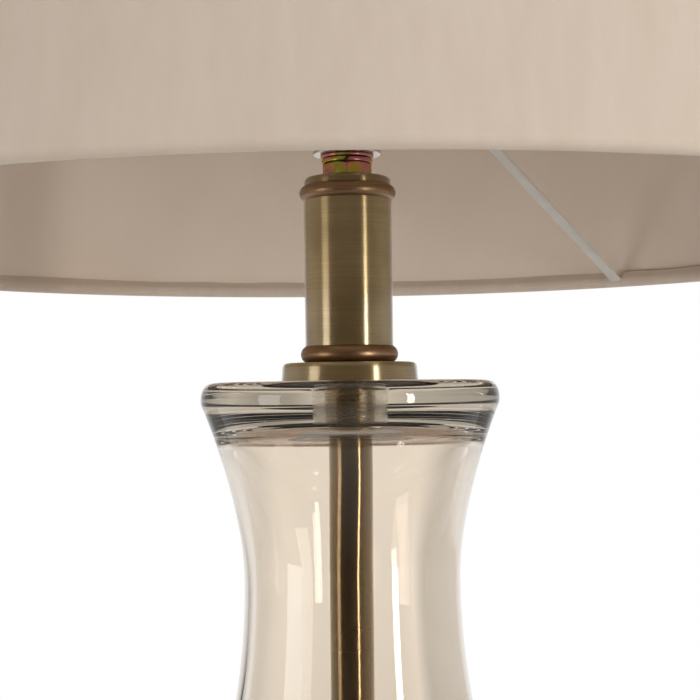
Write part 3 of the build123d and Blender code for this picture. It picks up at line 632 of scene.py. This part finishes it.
class LAMP_OT_fixings(bpy.types.Operator):
    """Make the hexagon nuts and the washers, and finish the plate and the threaded tube"""

    bl_idname = "lamp.fixings"
    bl_label = "Nut and washers"

    def execute(self, context):
        zinc, nickel = yellow_zinc(), bright_nickel()
        for name, node, turn in (("neck_hexagon", "neck_nut", -90), ("base_hexagon", "base_nut", 0)):
            grid = self.hexagon(node, turn)
            put(closed_surface(name, grid, [zinc], None, 25), "lamp_body", "zinc_yellow", node)
        dress("base_washer", zinc)
        low, high = node_box("flat_washer")
        bottom, top, rim, hole, rounding = low[2] / MM, high[2] / MM, high[0] / MM, 5.3, 0.42
        outline = arcs_at(
            [(hole, bottom, 0.12), (rim, bottom, rounding), (rim, top, rounding), (hole, top, 0.12)], 6
        )
        washer = closed_surface("thin_washer", lathed(outline, around(144)), [zinc], None, 50)
        put(washer, "lamp_body", "zinc_yellow", "flat_washer")
        put(closed_tube("spring_washer", self.coil(), zinc), "lamp_body", "zinc_yellow", "lock_washer")
        dress("seat_plate", nickel)
        # Rolled steel tube under zinc plate: dull grey with a faint bloom.
        dress("threaded_tube", dipped("zinc_thread", "a9a293", "8f8878", 0.4, 0.0, 0.8, 0.05))
        return {"FINISHED"}

    def hexagon(self, node, turn):
        """Six flats as one rounded hexagon: its radius is the apothem over the 48th root of
        the sum of |cos|^48 towards the three pairs of flats. The section is a bored ring
        with chamfered corners, cut off by that radius."""
        low, high = node_box(node)
        apothem, chamfer, hole = 7.0, 0.7, 5.15
        bottom, top = low[2] / MM, high[2] / MM
        corner, face = apothem / math.cos(math.pi / 6), apothem * 0.985
        outline = arcs_at(
            [
                (hole, bottom, 0.2),
                (face, bottom, 0.12),
                (corner, bottom + chamfer, 0.15),
                (corner, top - chamfer, 0.15),
                (face, top, 0.12),
                (hole, top, 0.2),
            ],
            6,
        )
        angles = around(216)
        flats = math.radians(turn + 30) + np.arange(3)[:, None] * math.pi / 3
        limit = apothem * MM / (np.abs(np.cos(angles - flats)) ** 48).sum(0) ** (1 / 48)
        r = np.minimum(outline[:, None, 0], limit[None])
        return lathed(np.stack([r, outline[:, None, 1] + 0 * r], -1), angles)

    def coil(self):
        """The lock washer is one coil of square wire with round corners: a rounded section
        |x/w|^4 + |y/h|^4 = 1 carried round from one side of the slot to the other, with its
        ends cut on a slant and sprung a hair up and down."""
        low, high = node_box("lock_washer")
        rim, middle = high[0] - 1.1 * MM, (low[2] + high[2]) / 2
        half_width, half_height, half_slot, spring = 1.08 * MM, 0.72 * MM, 0.45 * MM, 0.06 * MM
        a = around(24)
        across = half_width * np.sign(np.cos(a)) * np.sqrt(np.abs(np.cos(a)))
        rise = half_height * np.sign(np.sin(a)) * np.sqrt(np.abs(np.sin(a)))
        slot = half_slot / rim
        turn = np.linspace(slot, TURN - slot, 150)[:, None]
        place = turn - math.pi / 2 + 0.55 * rise / rim
        z = middle + rise + spring * (turn - math.pi) / math.pi
        r = rim + across + 0 * turn
        return np.stack([r * np.cos(place), r * np.sin(place), z], -1)


class LAMP_OT_lampholder(bpy.types.Operator):
    """Make the lampholder's screwed skirt and shell, and finish its other parts"""

    bl_idname = "lamp.lampholder"
    bl_label = "Lampholder"

    def execute(self, context):
        # Phenolic compound from a polished mould: ivory, even and glossy.
        phenolic = dipped("moulded_phenolic", "e9e5da", "dcd7ca", 0.28, 0.3, 1.6, 0.015)
        nickel = bpy.data.materials["bright_nickel"]
        skirt = closed_surface("holder_sleeve", self.skirt(), [phenolic], None, 40)
        put(skirt, "lamp_body", "white_phenolic", "holder_skirt")
        shell = closed_surface("rolled_shell", self.shell(), [nickel], None, 60)
        put(shell, "lamp_body", "nickel_plate", "screw_shell")
        dress("holder_cap", nickel)
        # Porcelain under a clear glaze: white, with sharp highlights.
        dress("holder_insert", dipped("glazed_porcelain", "efece4", "e4e0d6", 0.2, 0.6))
        # Turned brass, left bare: yellow and softly shiny.
        brass = dipped("bare_brass", "c7a35c", "b08c48", 0.3, Metallic=1.0)
        for name in ("terminal_screws", "centre_contact"):
            dress(name, brass)
        for name in ("support_ring", "clamp_ring"):
            dress(name, phenolic)
        return {"FINISHED"}

    def skirt(self):
        """The moulded skirt: a stepped tube with a flange, and a thread cut in its wall."""
        low, high = node_box("holder_skirt")
        bottom, top, shoulder = low[2] / MM, high[2] / MM, node_box("holder_cap")[1][2] / MM
        spigot_bore, spigot, flange, wall, bore, mouth = 16.55, 18.25, 21.5, 19.8, 17.4, 14.2
        flange_top, lip_foot = shoulder + 1.5, top - 4
        outline = arcs_at(
            [
                (spigot_bore, bottom, 0.1),
                (spigot, bottom, 0.1),
                (spigot, shoulder, 0.1),
                (flange, shoulder, 0.4),
                (flange, flange_top, 0.4),
                (wall, flange_top, 0.2),
                (wall, top, 1.0),
                (mouth, top, 1.0),
                (mouth, lip_foot, 0.2),
                (bore, lip_foot, 0.2),
                (bore, shoulder, 0.2),
                (spigot_bore, shoulder, 0.1),
            ],
            4,
        )
        # Close points on the straight of the wall, for the thread.
        rise = np.linspace(shoulder + 2, top - 1.6, 150) * MM
        close = np.stack([np.full(len(rise), wall * MM), rise], -1)
        on_wall = (outline[:, 0] > (wall - 0.1) * MM) & (outline[:, 1] > (shoulder + 1.9) * MM)
        spot = np.flatnonzero(on_wall & (outline[:, 1] < (top - 1.2) * MM))
        outline = np.vstack([outline[: spot[0]], close, outline[spot[-1] + 1 :]])
        on_wall = (outline[:, 0] > (wall - 0.05) * MM) & (outline[:, 1] > (shoulder + 1.8) * MM)
        threaded = on_wall & (outline[:, 1] < (top - 1.1) * MM)
        pitch, depth, start, end = 2.5 * MM, 0.55 * MM, (shoulder + 2.5) * MM, (top - 2) * MM
        return screwed(outline, around(120), threaded, pitch, depth, start, end)

    def shell(self):
        """The shell's sheet is rolled into its thread, so both faces follow the wave
        depth * (1 + cos(2 pi (z / pitch - a / 2 pi))) / 2, which fades at either end."""
        low, high = node_box("screw_shell")
        bottom, top, pitch, depth = low[2] / MM, high[2] / MM, 3.63, 0.55
        outside, inside, hole, sheet = 13.9, 13.45, 6.0, 0.5
        rise = np.linspace(bottom + 1.2, top - 0.4, 130)
        outer = np.stack([np.full(len(rise), outside), rise], -1)
        inner = np.stack([np.full(len(rise), inside), rise[::-1]], -1)
        floor = [(13.4, bottom + 0.9), (13.2, bottom + sheet), (hole, bottom + sheet)]
        floor += [(hole, bottom), (13.6, bottom), (13.85, bottom + sheet)]
        outline = np.vstack([outer, inner, floor]) * MM
        rolled = np.arange(len(outline)) < len(outer) + len(inner)
        angles = around(120)
        r, z = outline[:, None, 0], outline[:, None, 1]
        fade = np.clip((z / MM - bottom - 2) / 2, 0, 1) * np.clip((top - 0.8 - z / MM) / 1.5, 0, 1)
        wave = depth * MM * fade * (1 + np.cos(TURN * z / (pitch * MM) - angles[None])) / 2
        return lathed(np.stack([r + np.where(rolled[:, None], wave, 0), z + 0 * angles[None]], -1), angles)


class LAMP_OT_shade(bpy.types.Operator):
    """Make the cloth, with its turned-in hems and notches, and the lining"""

    bl_idname = "lamp.shade"
    bl_label = "Shade"

    def execute(self, context):
        s = context.scene.lamp_shade
        low, high = node_box("shade_fabric")
        wire, cloth, lining, hem = s.wire_radius, s.cloth, s.lining, s.hem_width
        wrap = wire + 0.05 * MM
        outer = wrap + cloth
        foot = np.array([high[0] - outer, low[2] + outer])
        head = np.array([node_box("upper_wire")[1][0] - wire, high[2] - outer])
        along = (head - foot) / np.linalg.norm(head - foot)
        out = np.array([along[1], -along[0]])
        # Columns: even, and closer where a notch's edges stand.
        arms = s.first_arm + np.arange(3) * TURN / 3
        half = s.notch_width / 2 / foot[0]
        near = half * np.array([-2.6, -1.7, -1.1, -0.98, -0.8, -0.4, 0, 0.4, 0.8, 0.98, 1.1, 1.7, 2.6])
        angles = np.sort(np.concatenate([around(420), (arms[:, None] + near).ravel() % TURN]))
        angles = angles[np.append(np.diff(angles) > 1e-5, True)]
        gap = np.abs((angles[:, None] - arms + math.pi) % TURN - math.pi).min(1) / half
        # The hem is pressed flat, but for the stretch to the right of the first arm.
        open_edge = np.clip((np.cos(angles) - 0.55) / 0.04, 0, 1)
        # Rows of a hem's section: round the wire, up to the tip, the tip, and back.
        bend_rows, rise_rows, tip_rows = 20, 4, 7
        nose = 0.3 * MM

        def hem_points(side, band, inside):
            """Section of one hem, (out, up) from the wire's centre, for each column: from
            the outer face round the wire to the tip of the band and back to the inner
            face. The tip stands off the lining by a hair and wavers a little."""
            a = np.linspace(0, math.pi * 1.2, bend_rows)[:, None]
            bend = np.stack([np.cos(a), -side * np.sin(a)], -1)
            lift = 0.06 * MM + open_edge * (0.25 + 0.1 * np.sin(17 * angles) * np.sin(5 * angles + 1)) * MM
            thick = cloth * (0.3 + 0.7 * open_edge)
            tip_out = wire - lining - lift - thick / 2
            tip_out = tip_out * (1 - inside) - (wrap + thick / 2) * inside
            tip_up = side * (band + 0.15 * MM * np.sin(23 * angles + 2 * np.sin(7 * angles)) - nose)
            first, last = bend[-1, 0] * outer, bend[-1, 0] * wrap
            t = np.array([0.12, 0.35, 0.6, 0.85])[:, None]
            up_outer = (1 - t) * first[0] + t * (tip_out - thick / 2), (1 - t) * first[1] + t * tip_up
            up_inner = (1 - t) * last[0] + t * (tip_out + thick / 2), (1 - t) * last[1] + t * tip_up
            b = np.linspace(-1, 1, tip_rows)[:, None] * math.pi / 2
            tip = tip_out + thick / 2 * np.sin(b), tip_up + side * nose * np.cos(b)
            ones = np.ones((len(angles), 1))
            rows = [bend * outer * ones, np.stack(up_outer, -1), np.stack(tip, -1)]
            rows += [np.stack(up_inner, -1)[::-1], (bend * wrap * ones)[::-1]]
            return np.concatenate(rows, 0)

        def placed(section, centre):
            """(out, up) of a section as (radius, height)."""
            return centre + section[..., :1] * out + section[..., 1:] * along

        t = np.linspace(0, 1, 40)[1:-1, None, None]

        def face(offset):
            """The straight of the cone, moved out by offset."""
            straight = (foot + offset * out) * (1 - t) + (head + offset * out) * t
            return np.repeat(straight, len(angles), 1)

        in_notch = np.clip((1.04 - gap) / 0.06, 0, 1)
        foot_hem = hem_points(1, hem * (1 - in_notch) + 1.4 * MM * in_notch, in_notch)
        head_hem = hem_points(-1, hem + 0 * angles, 0 * angles)
        rows = [placed(foot_hem, foot), face(wrap), placed(head_hem, head)[::-1], face(outer)[::-1]]
        outline = np.concatenate(rows)
        # The tip of each hem, but for its first and last row, is the cut edge.
        tip_start = bend_rows + rise_rows + 1
        cut = np.zeros(len(outline), bool)
        for start in (tip_start, len(foot_hem) + len(t) + tip_start):
            cut[start : start + tip_rows - 2] = True
        finish_of = np.repeat(cut[:, None], len(angles), 1)
        # The cut edge's finish is brown past the first arm, partly as painted shade of the gap under the tip.
        finishes = [shade_velvet(tuple(s.cloth_light), linear("cfbfaf")), cloth_edge_and_painted_shade()]
        cloth_piece = closed_surface("shade_cloth", lathed(outline, angles), finishes, finish_of, 60)
        put(cloth_piece, "shade", "shade_velvet", "shade_fabric")
        # Lining: a smooth cone between the two wires.
        t = np.linspace(0, 1, 48)[:, None]
        start, end = foot + along * wire, head - along * wire
        outer_face = (start + wire * out) * (1 - t) + (end + wire * out) * t
        inner_face = outer_face - lining * out
        outline = np.vstack([outer_face, inner_face[::-1]])
        finish = laminated_lining("ecddcf", "e5d6c8")
        smooth = closed_surface("shade_liner", lathed(outline, around(512)), [finish], None, 40)
        put(smooth, "shade", "shade_lining", "shade_lining")
        return {"FINISHED"}


class LAMP_OT_carrier(bpy.types.Operator):
    """Make the shade's arms, and finish its wires and ring"""

    bl_idname = "lamp.carrier"
    bl_label = "Shade carrier"

    def execute(self, context):
        # Steel dipped in white enamel: smooth, satin, a little uneven. Its tones are greyer than white:
        # painted shade, for the dim inside of the shade.
        enamel_with_painted_shade = dipped("white_enamel", "d0ccc6", "c6c2bb", 0.42, 0.0, 2.5, 0.004)
        for name in ("lower_wire", "upper_wire", "fitter_ring"):
            dress(name, enamel_with_painted_shade)
        ring_low, ring_high = node_box("fitter_ring")
        wire_low, wire_high = node_box("lower_wire")
        wire = (wire_high[2] - wire_low[2]) / 2
        start = np.array([ring_high[0] - 0.6 * MM, 0, (ring_low[2] + ring_high[2]) / 2])
        end = np.array([wire_high[0] - 2 * wire + 0.2 * MM, 0, (wire_low[2] + wire_high[2]) / 2])
        length = np.linalg.norm(end - start)
        ahead = (end - start) / length
        up = np.array([-ahead[2], 0, ahead[0]])
        # Each arm is a rolled strip: at share t of its run the section is a rounded
        # rectangle |x/w|^3 + |y/h|^3 = 1, whose width grows and whose height sinks over
        # the last 12 mm, where the strip is flattened for the weld. It closes at both
        # ends over the last half millimetre.
        last = length / MM
        straight, weld = np.linspace(6, last - 16, 24), np.linspace(last - 14, last - 1, 14)
        run = np.concatenate([[0, 0.15, 0.4, 1, 3], straight, weld, [last - 0.4, last - 0.15, last]]) * MM
        flat = np.clip((run - (length - 12 * MM)) / (4 * MM), 0, 1)
        flat = flat * flat * (3 - 2 * flat)
        to_end = np.clip(np.minimum(run, length - run) / (0.5 * MM), 0, 1)
        taper = np.sqrt(np.clip(1 - (1 - to_end) ** 2, 0.0004, 1))
        width = (2.0 + 0.3 * flat) * MM * taper
        height = (1.0 - 0.22 * flat) * MM * taper
        a = around(28)
        across = np.sign(np.sin(a)) * np.abs(np.sin(a)) ** (2 / 3)
        rise = np.sign(np.cos(a)) * np.abs(np.cos(a)) ** (2 / 3)
        side = np.array([0, 1.0, 0])
        arm = (start + run[:, None] * ahead)[:, None]
        arm = arm + (width[:, None] * across)[..., None] * side + (height[:, None] * rise)[..., None] * up
        for number in range(3):
            turn = context.scene.lamp_shade.first_arm + number * TURN / 3
            c, n = math.cos(turn), math.sin(turn)
            grid = arm @ np.array([[c, n, 0], [-n, c, 0], [0, 0, 1.0]])
            put(closed_tube(f"shade_arm_{number + 1}", grid, enamel_with_painted_shade), "shade", "white_enamel", "fitter_arms")
        return {"FINISHED"}


class LAMP_OT_base(bpy.types.Operator):
    """Make the felt, and finish the base's cover, weight, bush and seals"""

    bl_idname = "lamp.base"
    bl_label = "Base"

    def execute(self, context):
        dress("base_cover", bpy.data.materials["brushed_brass"])
        # Cast iron under grey primer: matt and grainy.
        dress("base_weight", dipped("primed_iron", "b4b1aa", "a3a099", 0.6, 0.0, 0.9, 0.12))
        # Moulded nylon: black and half matt.
        dress("cord_bush", dipped("moulded_nylon", "1f1f20", "17171a", 0.45))
        # Silicone rubber: milky, and light comes through it.
        seal = dipped("clear_silicone", "e8e7e2", "dddcd6", 0.35, **{"Transmission Weight": 0.7})
        for name in ("foot_gasket", "top_gasket"):
            dress(name, seal)
        # Pressed wool felt: brown and dull, with a short nap.
        wool = dipped("pressed_felt", "5a4f44", "463d34", 0.95, 0.0, 0.7, 0.2)
        felt = put(closed_tube("felt_disc", self.disc(), wool), "lamp_body", "felt", "base_felt")
        return {"FINISHED"}

    def disc(self):
        """A disc of pressed wool with a soft edge. Its rings run from under its middle, out
        round the edge, whose section is half an ellipse, and back over the top. Both faces
        sink in by 0.04 mm (1 + sin(9 a + r / 3 mm) sin(5 a - r / 2 mm)) / 2."""
        low, high = node_box("base_felt")
        edge, thick, middle = 0.9 * MM, high[2] - low[2], (low[2] + high[2]) / 2
        run = np.linspace(2 * MM, high[0] - edge, 40)
        bend = np.linspace(-math.pi / 2, math.pi / 2, 11)[1:-1]
        r = np.concatenate([run, high[0] - edge + edge * np.cos(bend), run[::-1]])[:, None]
        z = np.concatenate([low[2] + 0 * run, middle + thick / 2 * np.sin(bend), high[2] + 0 * run])[:, None]
        inward = np.concatenate([1 + 0 * run, 0 * bend, -1 + 0 * run])[:, None]
        a = around(160)
        matted = (1 + np.sin(9 * a + r / (3 * MM)) * np.sin(5 * a - r / (2 * MM))) / 2
        return lathed(np.stack([r + 0 * a, z + 0.04 * MM * inward * matted], -1), a)


class LAMP_OT_studio(bpy.types.Operator):
    """Set up the floor, the lights, the room and the camera"""

    bl_idname = "lamp.studio"
    bl_label = "Studio"

    def execute(self, context):
        s = context.scene.lamp_studio
        scene = context.scene
        self.floor()
        # Each light stands at its angle to the right of the camera and its lift, in degrees,
        # and 1.25 m from the lamp's neck.
        aim, reach, tall = Vector((0, 0, 0.32)), 1.25, 1.3
        for name, azimuth, lift, width, height, glow in (
            ("window_right", 45, 4, 0.13, tall, s.key_glow),
            ("window_left", -62, 4, 0.40, tall, s.side_glow),
            ("soft_right", 42, -8, 0.9, 0.9, s.soft_glow),
        ):
            lamp = bpy.data.lights.new(name, "AREA")
            lamp.shape, lamp.size, lamp.size_y = "RECTANGLE", width, height
            lamp.energy = glow * math.pi * width * height
            lamp.color = (1.0, 0.97, 0.93)
            thing = bpy.data.objects.new(name, lamp)
            a, e = math.radians(azimuth), math.radians(lift)
            way = Vector((math.sin(a) * math.cos(e), -math.cos(a) * math.cos(e), math.sin(e)))
            thing.location = aim + reach * way
            thing.rotation_euler = (-way).to_track_quat("-Z", "Y").to_euler()
            thing.visible_camera = False
            # The soft light stands for a pale wall, too even to be seen in the metal.
            thing.visible_glossy = thing.visible_transmission = name != "soft_right"
            scene.collection.objects.link(thing)
        self.room(scene, s.room_glow)
        camera = bpy.data.objects.new("camera", bpy.data.cameras.new("camera"))
        camera.data.lens, camera.data.sensor_width = s.lens, 36
        # The picture reaches higher than the camera's level: it is raised by 40 pixels of 700.
        raised, picture_width = 40, 700
        camera.data.shift_y = raised / picture_width
        camera.data.clip_start = 0.01
        camera.location = (s.side_step, -s.distance, s.eye_height)
        camera.rotation_euler = (math.pi / 2, s.roll, 0)
        scene.collection.objects.link(camera)
        scene.camera = camera
        scene.view_settings.view_transform = "Standard"
        return {"FINISHED"}

    def floor(self):
        """A round table top, pale near the lamp and pure white at its edge."""
        radius, thick = 0.9, 0.002
        rings = np.linspace(0.001, radius, 24)
        top = np.stack([rings, 0 * rings], -1)
        under = np.stack([rings[::-1], 0 * rings - thick], -1)
        # White painted board: matt.
        material, tree = new_finish("pale_floor")
        place = add_node(tree, "ShaderNodeTexCoord").outputs["Object"]
        reach = add_node(tree, "ShaderNodeVectorMath", {0: place}, operation="LENGTH").outputs["Value"]
        back = add_node(tree, "ShaderNodeSeparateXYZ", {0: place}).outputs[1]
        rays = add_node(tree, "ShaderNodeLightPath").outputs
        matt = add_node(tree, "ShaderNodeBsdfDiffuse", {"Color": linear("f4f3f1")}).outputs[0]
        white = add_node(tree, "ShaderNodeEmission", {"Color": (1, 1, 1, 1), "Strength": 1.0}).outputs[0]
        # It is seen as white at its edge; in what it lights, only behind the lamp.
        rim = add_node(tree, "ShaderNodeMapRange", {0: reach, 1: 0.25, 2: 0.8}).outputs[0]
        behind = add_node(tree, "ShaderNodeMapRange", {0: back, 1: 0, 2: 0.2}).outputs[0]
        seen = {0: behind, 1: rays["Is Camera Ray"]}
        behind = add_node(tree, "ShaderNodeMath", seen, operation="MAXIMUM").outputs[0]
        share = add_node(tree, "ShaderNodeMath", {0: rim, 1: behind}, operation="MULTIPLY").outputs[0]
        mix = add_node(tree, "ShaderNodeMixShader", {0: share, 1: matt, 2: white}).outputs[0]
        # What glass and metal reflect of the table's front falls away into the room.
        front = add_node(tree, "ShaderNodeMapRange", {0: back, 1: -0.3, 2: 0, 3: 1, 4: 0}).outputs[0]
        front = add_node(tree, "ShaderNodeMath", {0: front, 1: rim}, operation="MULTIPLY").outputs[0]
        mirrored = {0: front, 1: rays["Is Glossy Ray"]}
        dim = add_node(tree, "ShaderNodeMath", mirrored, operation="MULTIPLY").outputs[0]
        dusk = add_node(tree, "ShaderNodeEmission", {"Color": linear("3c3a37"), "Strength": 1.0}).outputs[0]
        mix = add_node(tree, "ShaderNodeMixShader", {0: dim, 1: mix, 2: dusk}).outputs[0]
        add_node(tree, "ShaderNodeOutputMaterial", {"Surface": mix})
        closed_surface("floor", lathed(np.vstack([top, under]), around(96)), [material])

    def room(self, scene, glow):
        """White behind the lamp for what is seen straight or through glass; a dimmer
        room for what the metal reflects and for the light on the lamp."""
        world = bpy.data.worlds.new("room")
        world.use_nodes = True
        tree = world.node_tree
        tree.nodes.clear()
        ray = add_node(tree, "ShaderNodeLightPath").outputs
        way = add_node(tree, "ShaderNodeTexCoord").outputs["Generated"]
        to_right, to_back, to_top = add_node(tree, "ShaderNodeSeparateXYZ", {0: way}).outputs
        white = add_node(tree, "ShaderNodeBackground", {"Color": (1, 1, 1, 1), "Strength": 1.0}).outputs[0]
        # On matt things: a little more from the right than from the left.
        sides = {0: to_right, 1: -1, 2: 1, 3: glow * 0.7, 4: glow * 1.3}
        even = add_node(tree, "ShaderNodeMapRange", sides).outputs[0]
        pearl = {"Color": linear("fffdfa"), "Strength": even}
        soft = add_node(tree, "ShaderNodeBackground", pearl).outputs[0]
        # In reflections: dim towards the camera's side, brighter to the back, white behind.
        depth = add_node(tree, "ShaderNodeMapRange", {0: to_back, 1: -1, 2: 1}).outputs[0]
        ramp = add_node(tree, "ShaderNodeValToRGB", {0: depth})
        stops = ramp.color_ramp.elements
        stops[0].color, stops[1].color = (0.05, 0.05, 0.045, 1), (1, 1, 1, 1)
        for place, level in ((0.1, 0.1), (0.28, 0.6), (0.6, 0.66), (0.9, 0.45)):
            stops.new(place).color = (level, level * 0.97, level * 0.93, 1)
        greys = {"Color": ramp.outputs[0], "Strength": 1.0}
        mirrored = add_node(tree, "ShaderNodeBackground", greys).outputs[0]
        # Through glass: the white backdrop, then the grey room round it.
        across = add_node(tree, "ShaderNodeMapRange", {0: to_right, 1: -1, 2: 1}).outputs[0]
        aside = add_node(tree, "ShaderNodeValToRGB", {0: across})
        stops = aside.color_ramp.elements
        stops[0].color, stops[1].color = (0.5, 0.5, 0.48, 1), (0.4, 0.4, 0.39, 1)
        greys = (0.25, 0.6), (0.36, 0.72), (0.43, 0.98), (0.56, 1.0), (0.62, 0.6), (0.7, 0.52), (0.8, 0.75)
        for place, level in greys:
            stops.new(place).color = (level, level, level * 0.97, 1)
        tilt = add_node(tree, "ShaderNodeMath", {0: to_top}, operation="ABSOLUTE").outputs[0]
        away = add_node(tree, "ShaderNodeValToRGB", {0: tilt})
        stops = away.color_ramp.elements
        stops[0].position, stops[0].color = 0.15, (1, 1, 1, 1)
        stops[1].position, stops[1].color = 0.8, (0.34, 0.36, 0.39, 1)
        stops.new(0.4).color = (0.64, 0.63, 0.6, 1)
        both = {0: aside.outputs[0], 1: away.outputs[0]}
        seen = add_node(tree, "ShaderNodeVectorMath", both, operation="MULTIPLY").outputs[0]
        through = add_node(tree, "ShaderNodeBackground", {"Color": seen, "Strength": 1.0}).outputs[0]
        # A ray that has met the rod or the inside of the glass on its way sees the room,
        # with its pale side walls.
        walls = add_node(tree, "ShaderNodeValToRGB", {0: depth})
        stops = walls.color_ramp.elements
        stops[0].color, stops[1].color = (0.04, 0.04, 0.035, 1), (1, 1, 1, 1)
        for place, level in ((0.15, 0.1), (0.4, 0.9), (0.8, 0.92)):
            stops.new(place).color = (level, level * 0.98, level * 0.94, 1)
        both = {0: walls.outputs[0], 1: away.outputs[0]}
        seen = add_node(tree, "ShaderNodeVectorMath", both, operation="MULTIPLY").outputs[0]
        pale = add_node(tree, "ShaderNodeBackground", {"Color": seen, "Strength": 1.0}).outputs[0]
        met = {0: ray["Glossy Depth"], 1: 0.5}
        bounced = add_node(tree, "ShaderNodeMath", met, operation="GREATER_THAN").outputs[0]
        through = add_node(tree, "ShaderNodeMixShader", {0: bounced, 1: through, 2: pale}).outputs[0]
        mix = soft
        for kind, sight in (("Glossy", mirrored), ("Transmission", through), ("Camera", white)):
            choice = {0: ray[f"Is {kind} Ray"], 1: mix, 2: sight}
            mix = add_node(tree, "ShaderNodeMixShader", choice).outputs[0]
        add_node(tree, "ShaderNodeOutputWorld", {"Surface": mix})
        scene.world = world


class LAMP_PT_panel(bpy.types.Panel):
    """The lamp's settings, and one button for each group of pieces"""

    bl_idname = "LAMP_PT_panel"
    bl_label = "Glass Table Lamp"
    bl_space_type = "VIEW_3D"
    bl_region_type = "UI"
    bl_category = "Lamp"

    def draw(self, context):
        for group in (context.scene.lamp_glass, context.scene.lamp_shade, context.scene.lamp_studio):
            box = self.layout.box()
            for key in group.__annotations__:
                box.prop(group, key)
        for operator in OPERATORS:
            self.layout.operator(operator.bl_idname)


SETTINGS = {
    "lamp_glass": LampGlassSettings,
    "lamp_shade": LampShadeSettings,
    "lamp_studio": LampStudioSettings,
}
OPERATORS = (
    LAMP_OT_studio,
    LAMP_OT_glass,
    LAMP_OT_neck,
    LAMP_OT_fixings,
    LAMP_OT_lampholder,
    LAMP_OT_shade,
    LAMP_OT_carrier,
    LAMP_OT_base,
)


def register():
    for item in (*SETTINGS.values(), *OPERATORS, LAMP_PT_panel):
        bpy.utils.register_class(item)
    for name, group in SETTINGS.items():
        setattr(bpy.types.Scene, name, PointerProperty(type=group))


def unregister():
    for name in SETTINGS:
        delattr(bpy.types.Scene, name)
    for item in reversed((*SETTINGS.values(), *OPERATORS, LAMP_PT_panel)):
        bpy.utils.unregister_class(item)


def main():
    """Registers the add-on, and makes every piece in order."""
    register()
    bpy.ops.lamp.studio()
    bpy.ops.lamp.glass()
    bpy.ops.lamp.neck()
    bpy.ops.lamp.fixings()
    bpy.ops.lamp.lampholder()
    bpy.ops.lamp.shade()
    bpy.ops.lamp.carrier()
    bpy.ops.lamp.base()


if __name__ == "__main__":
    main()
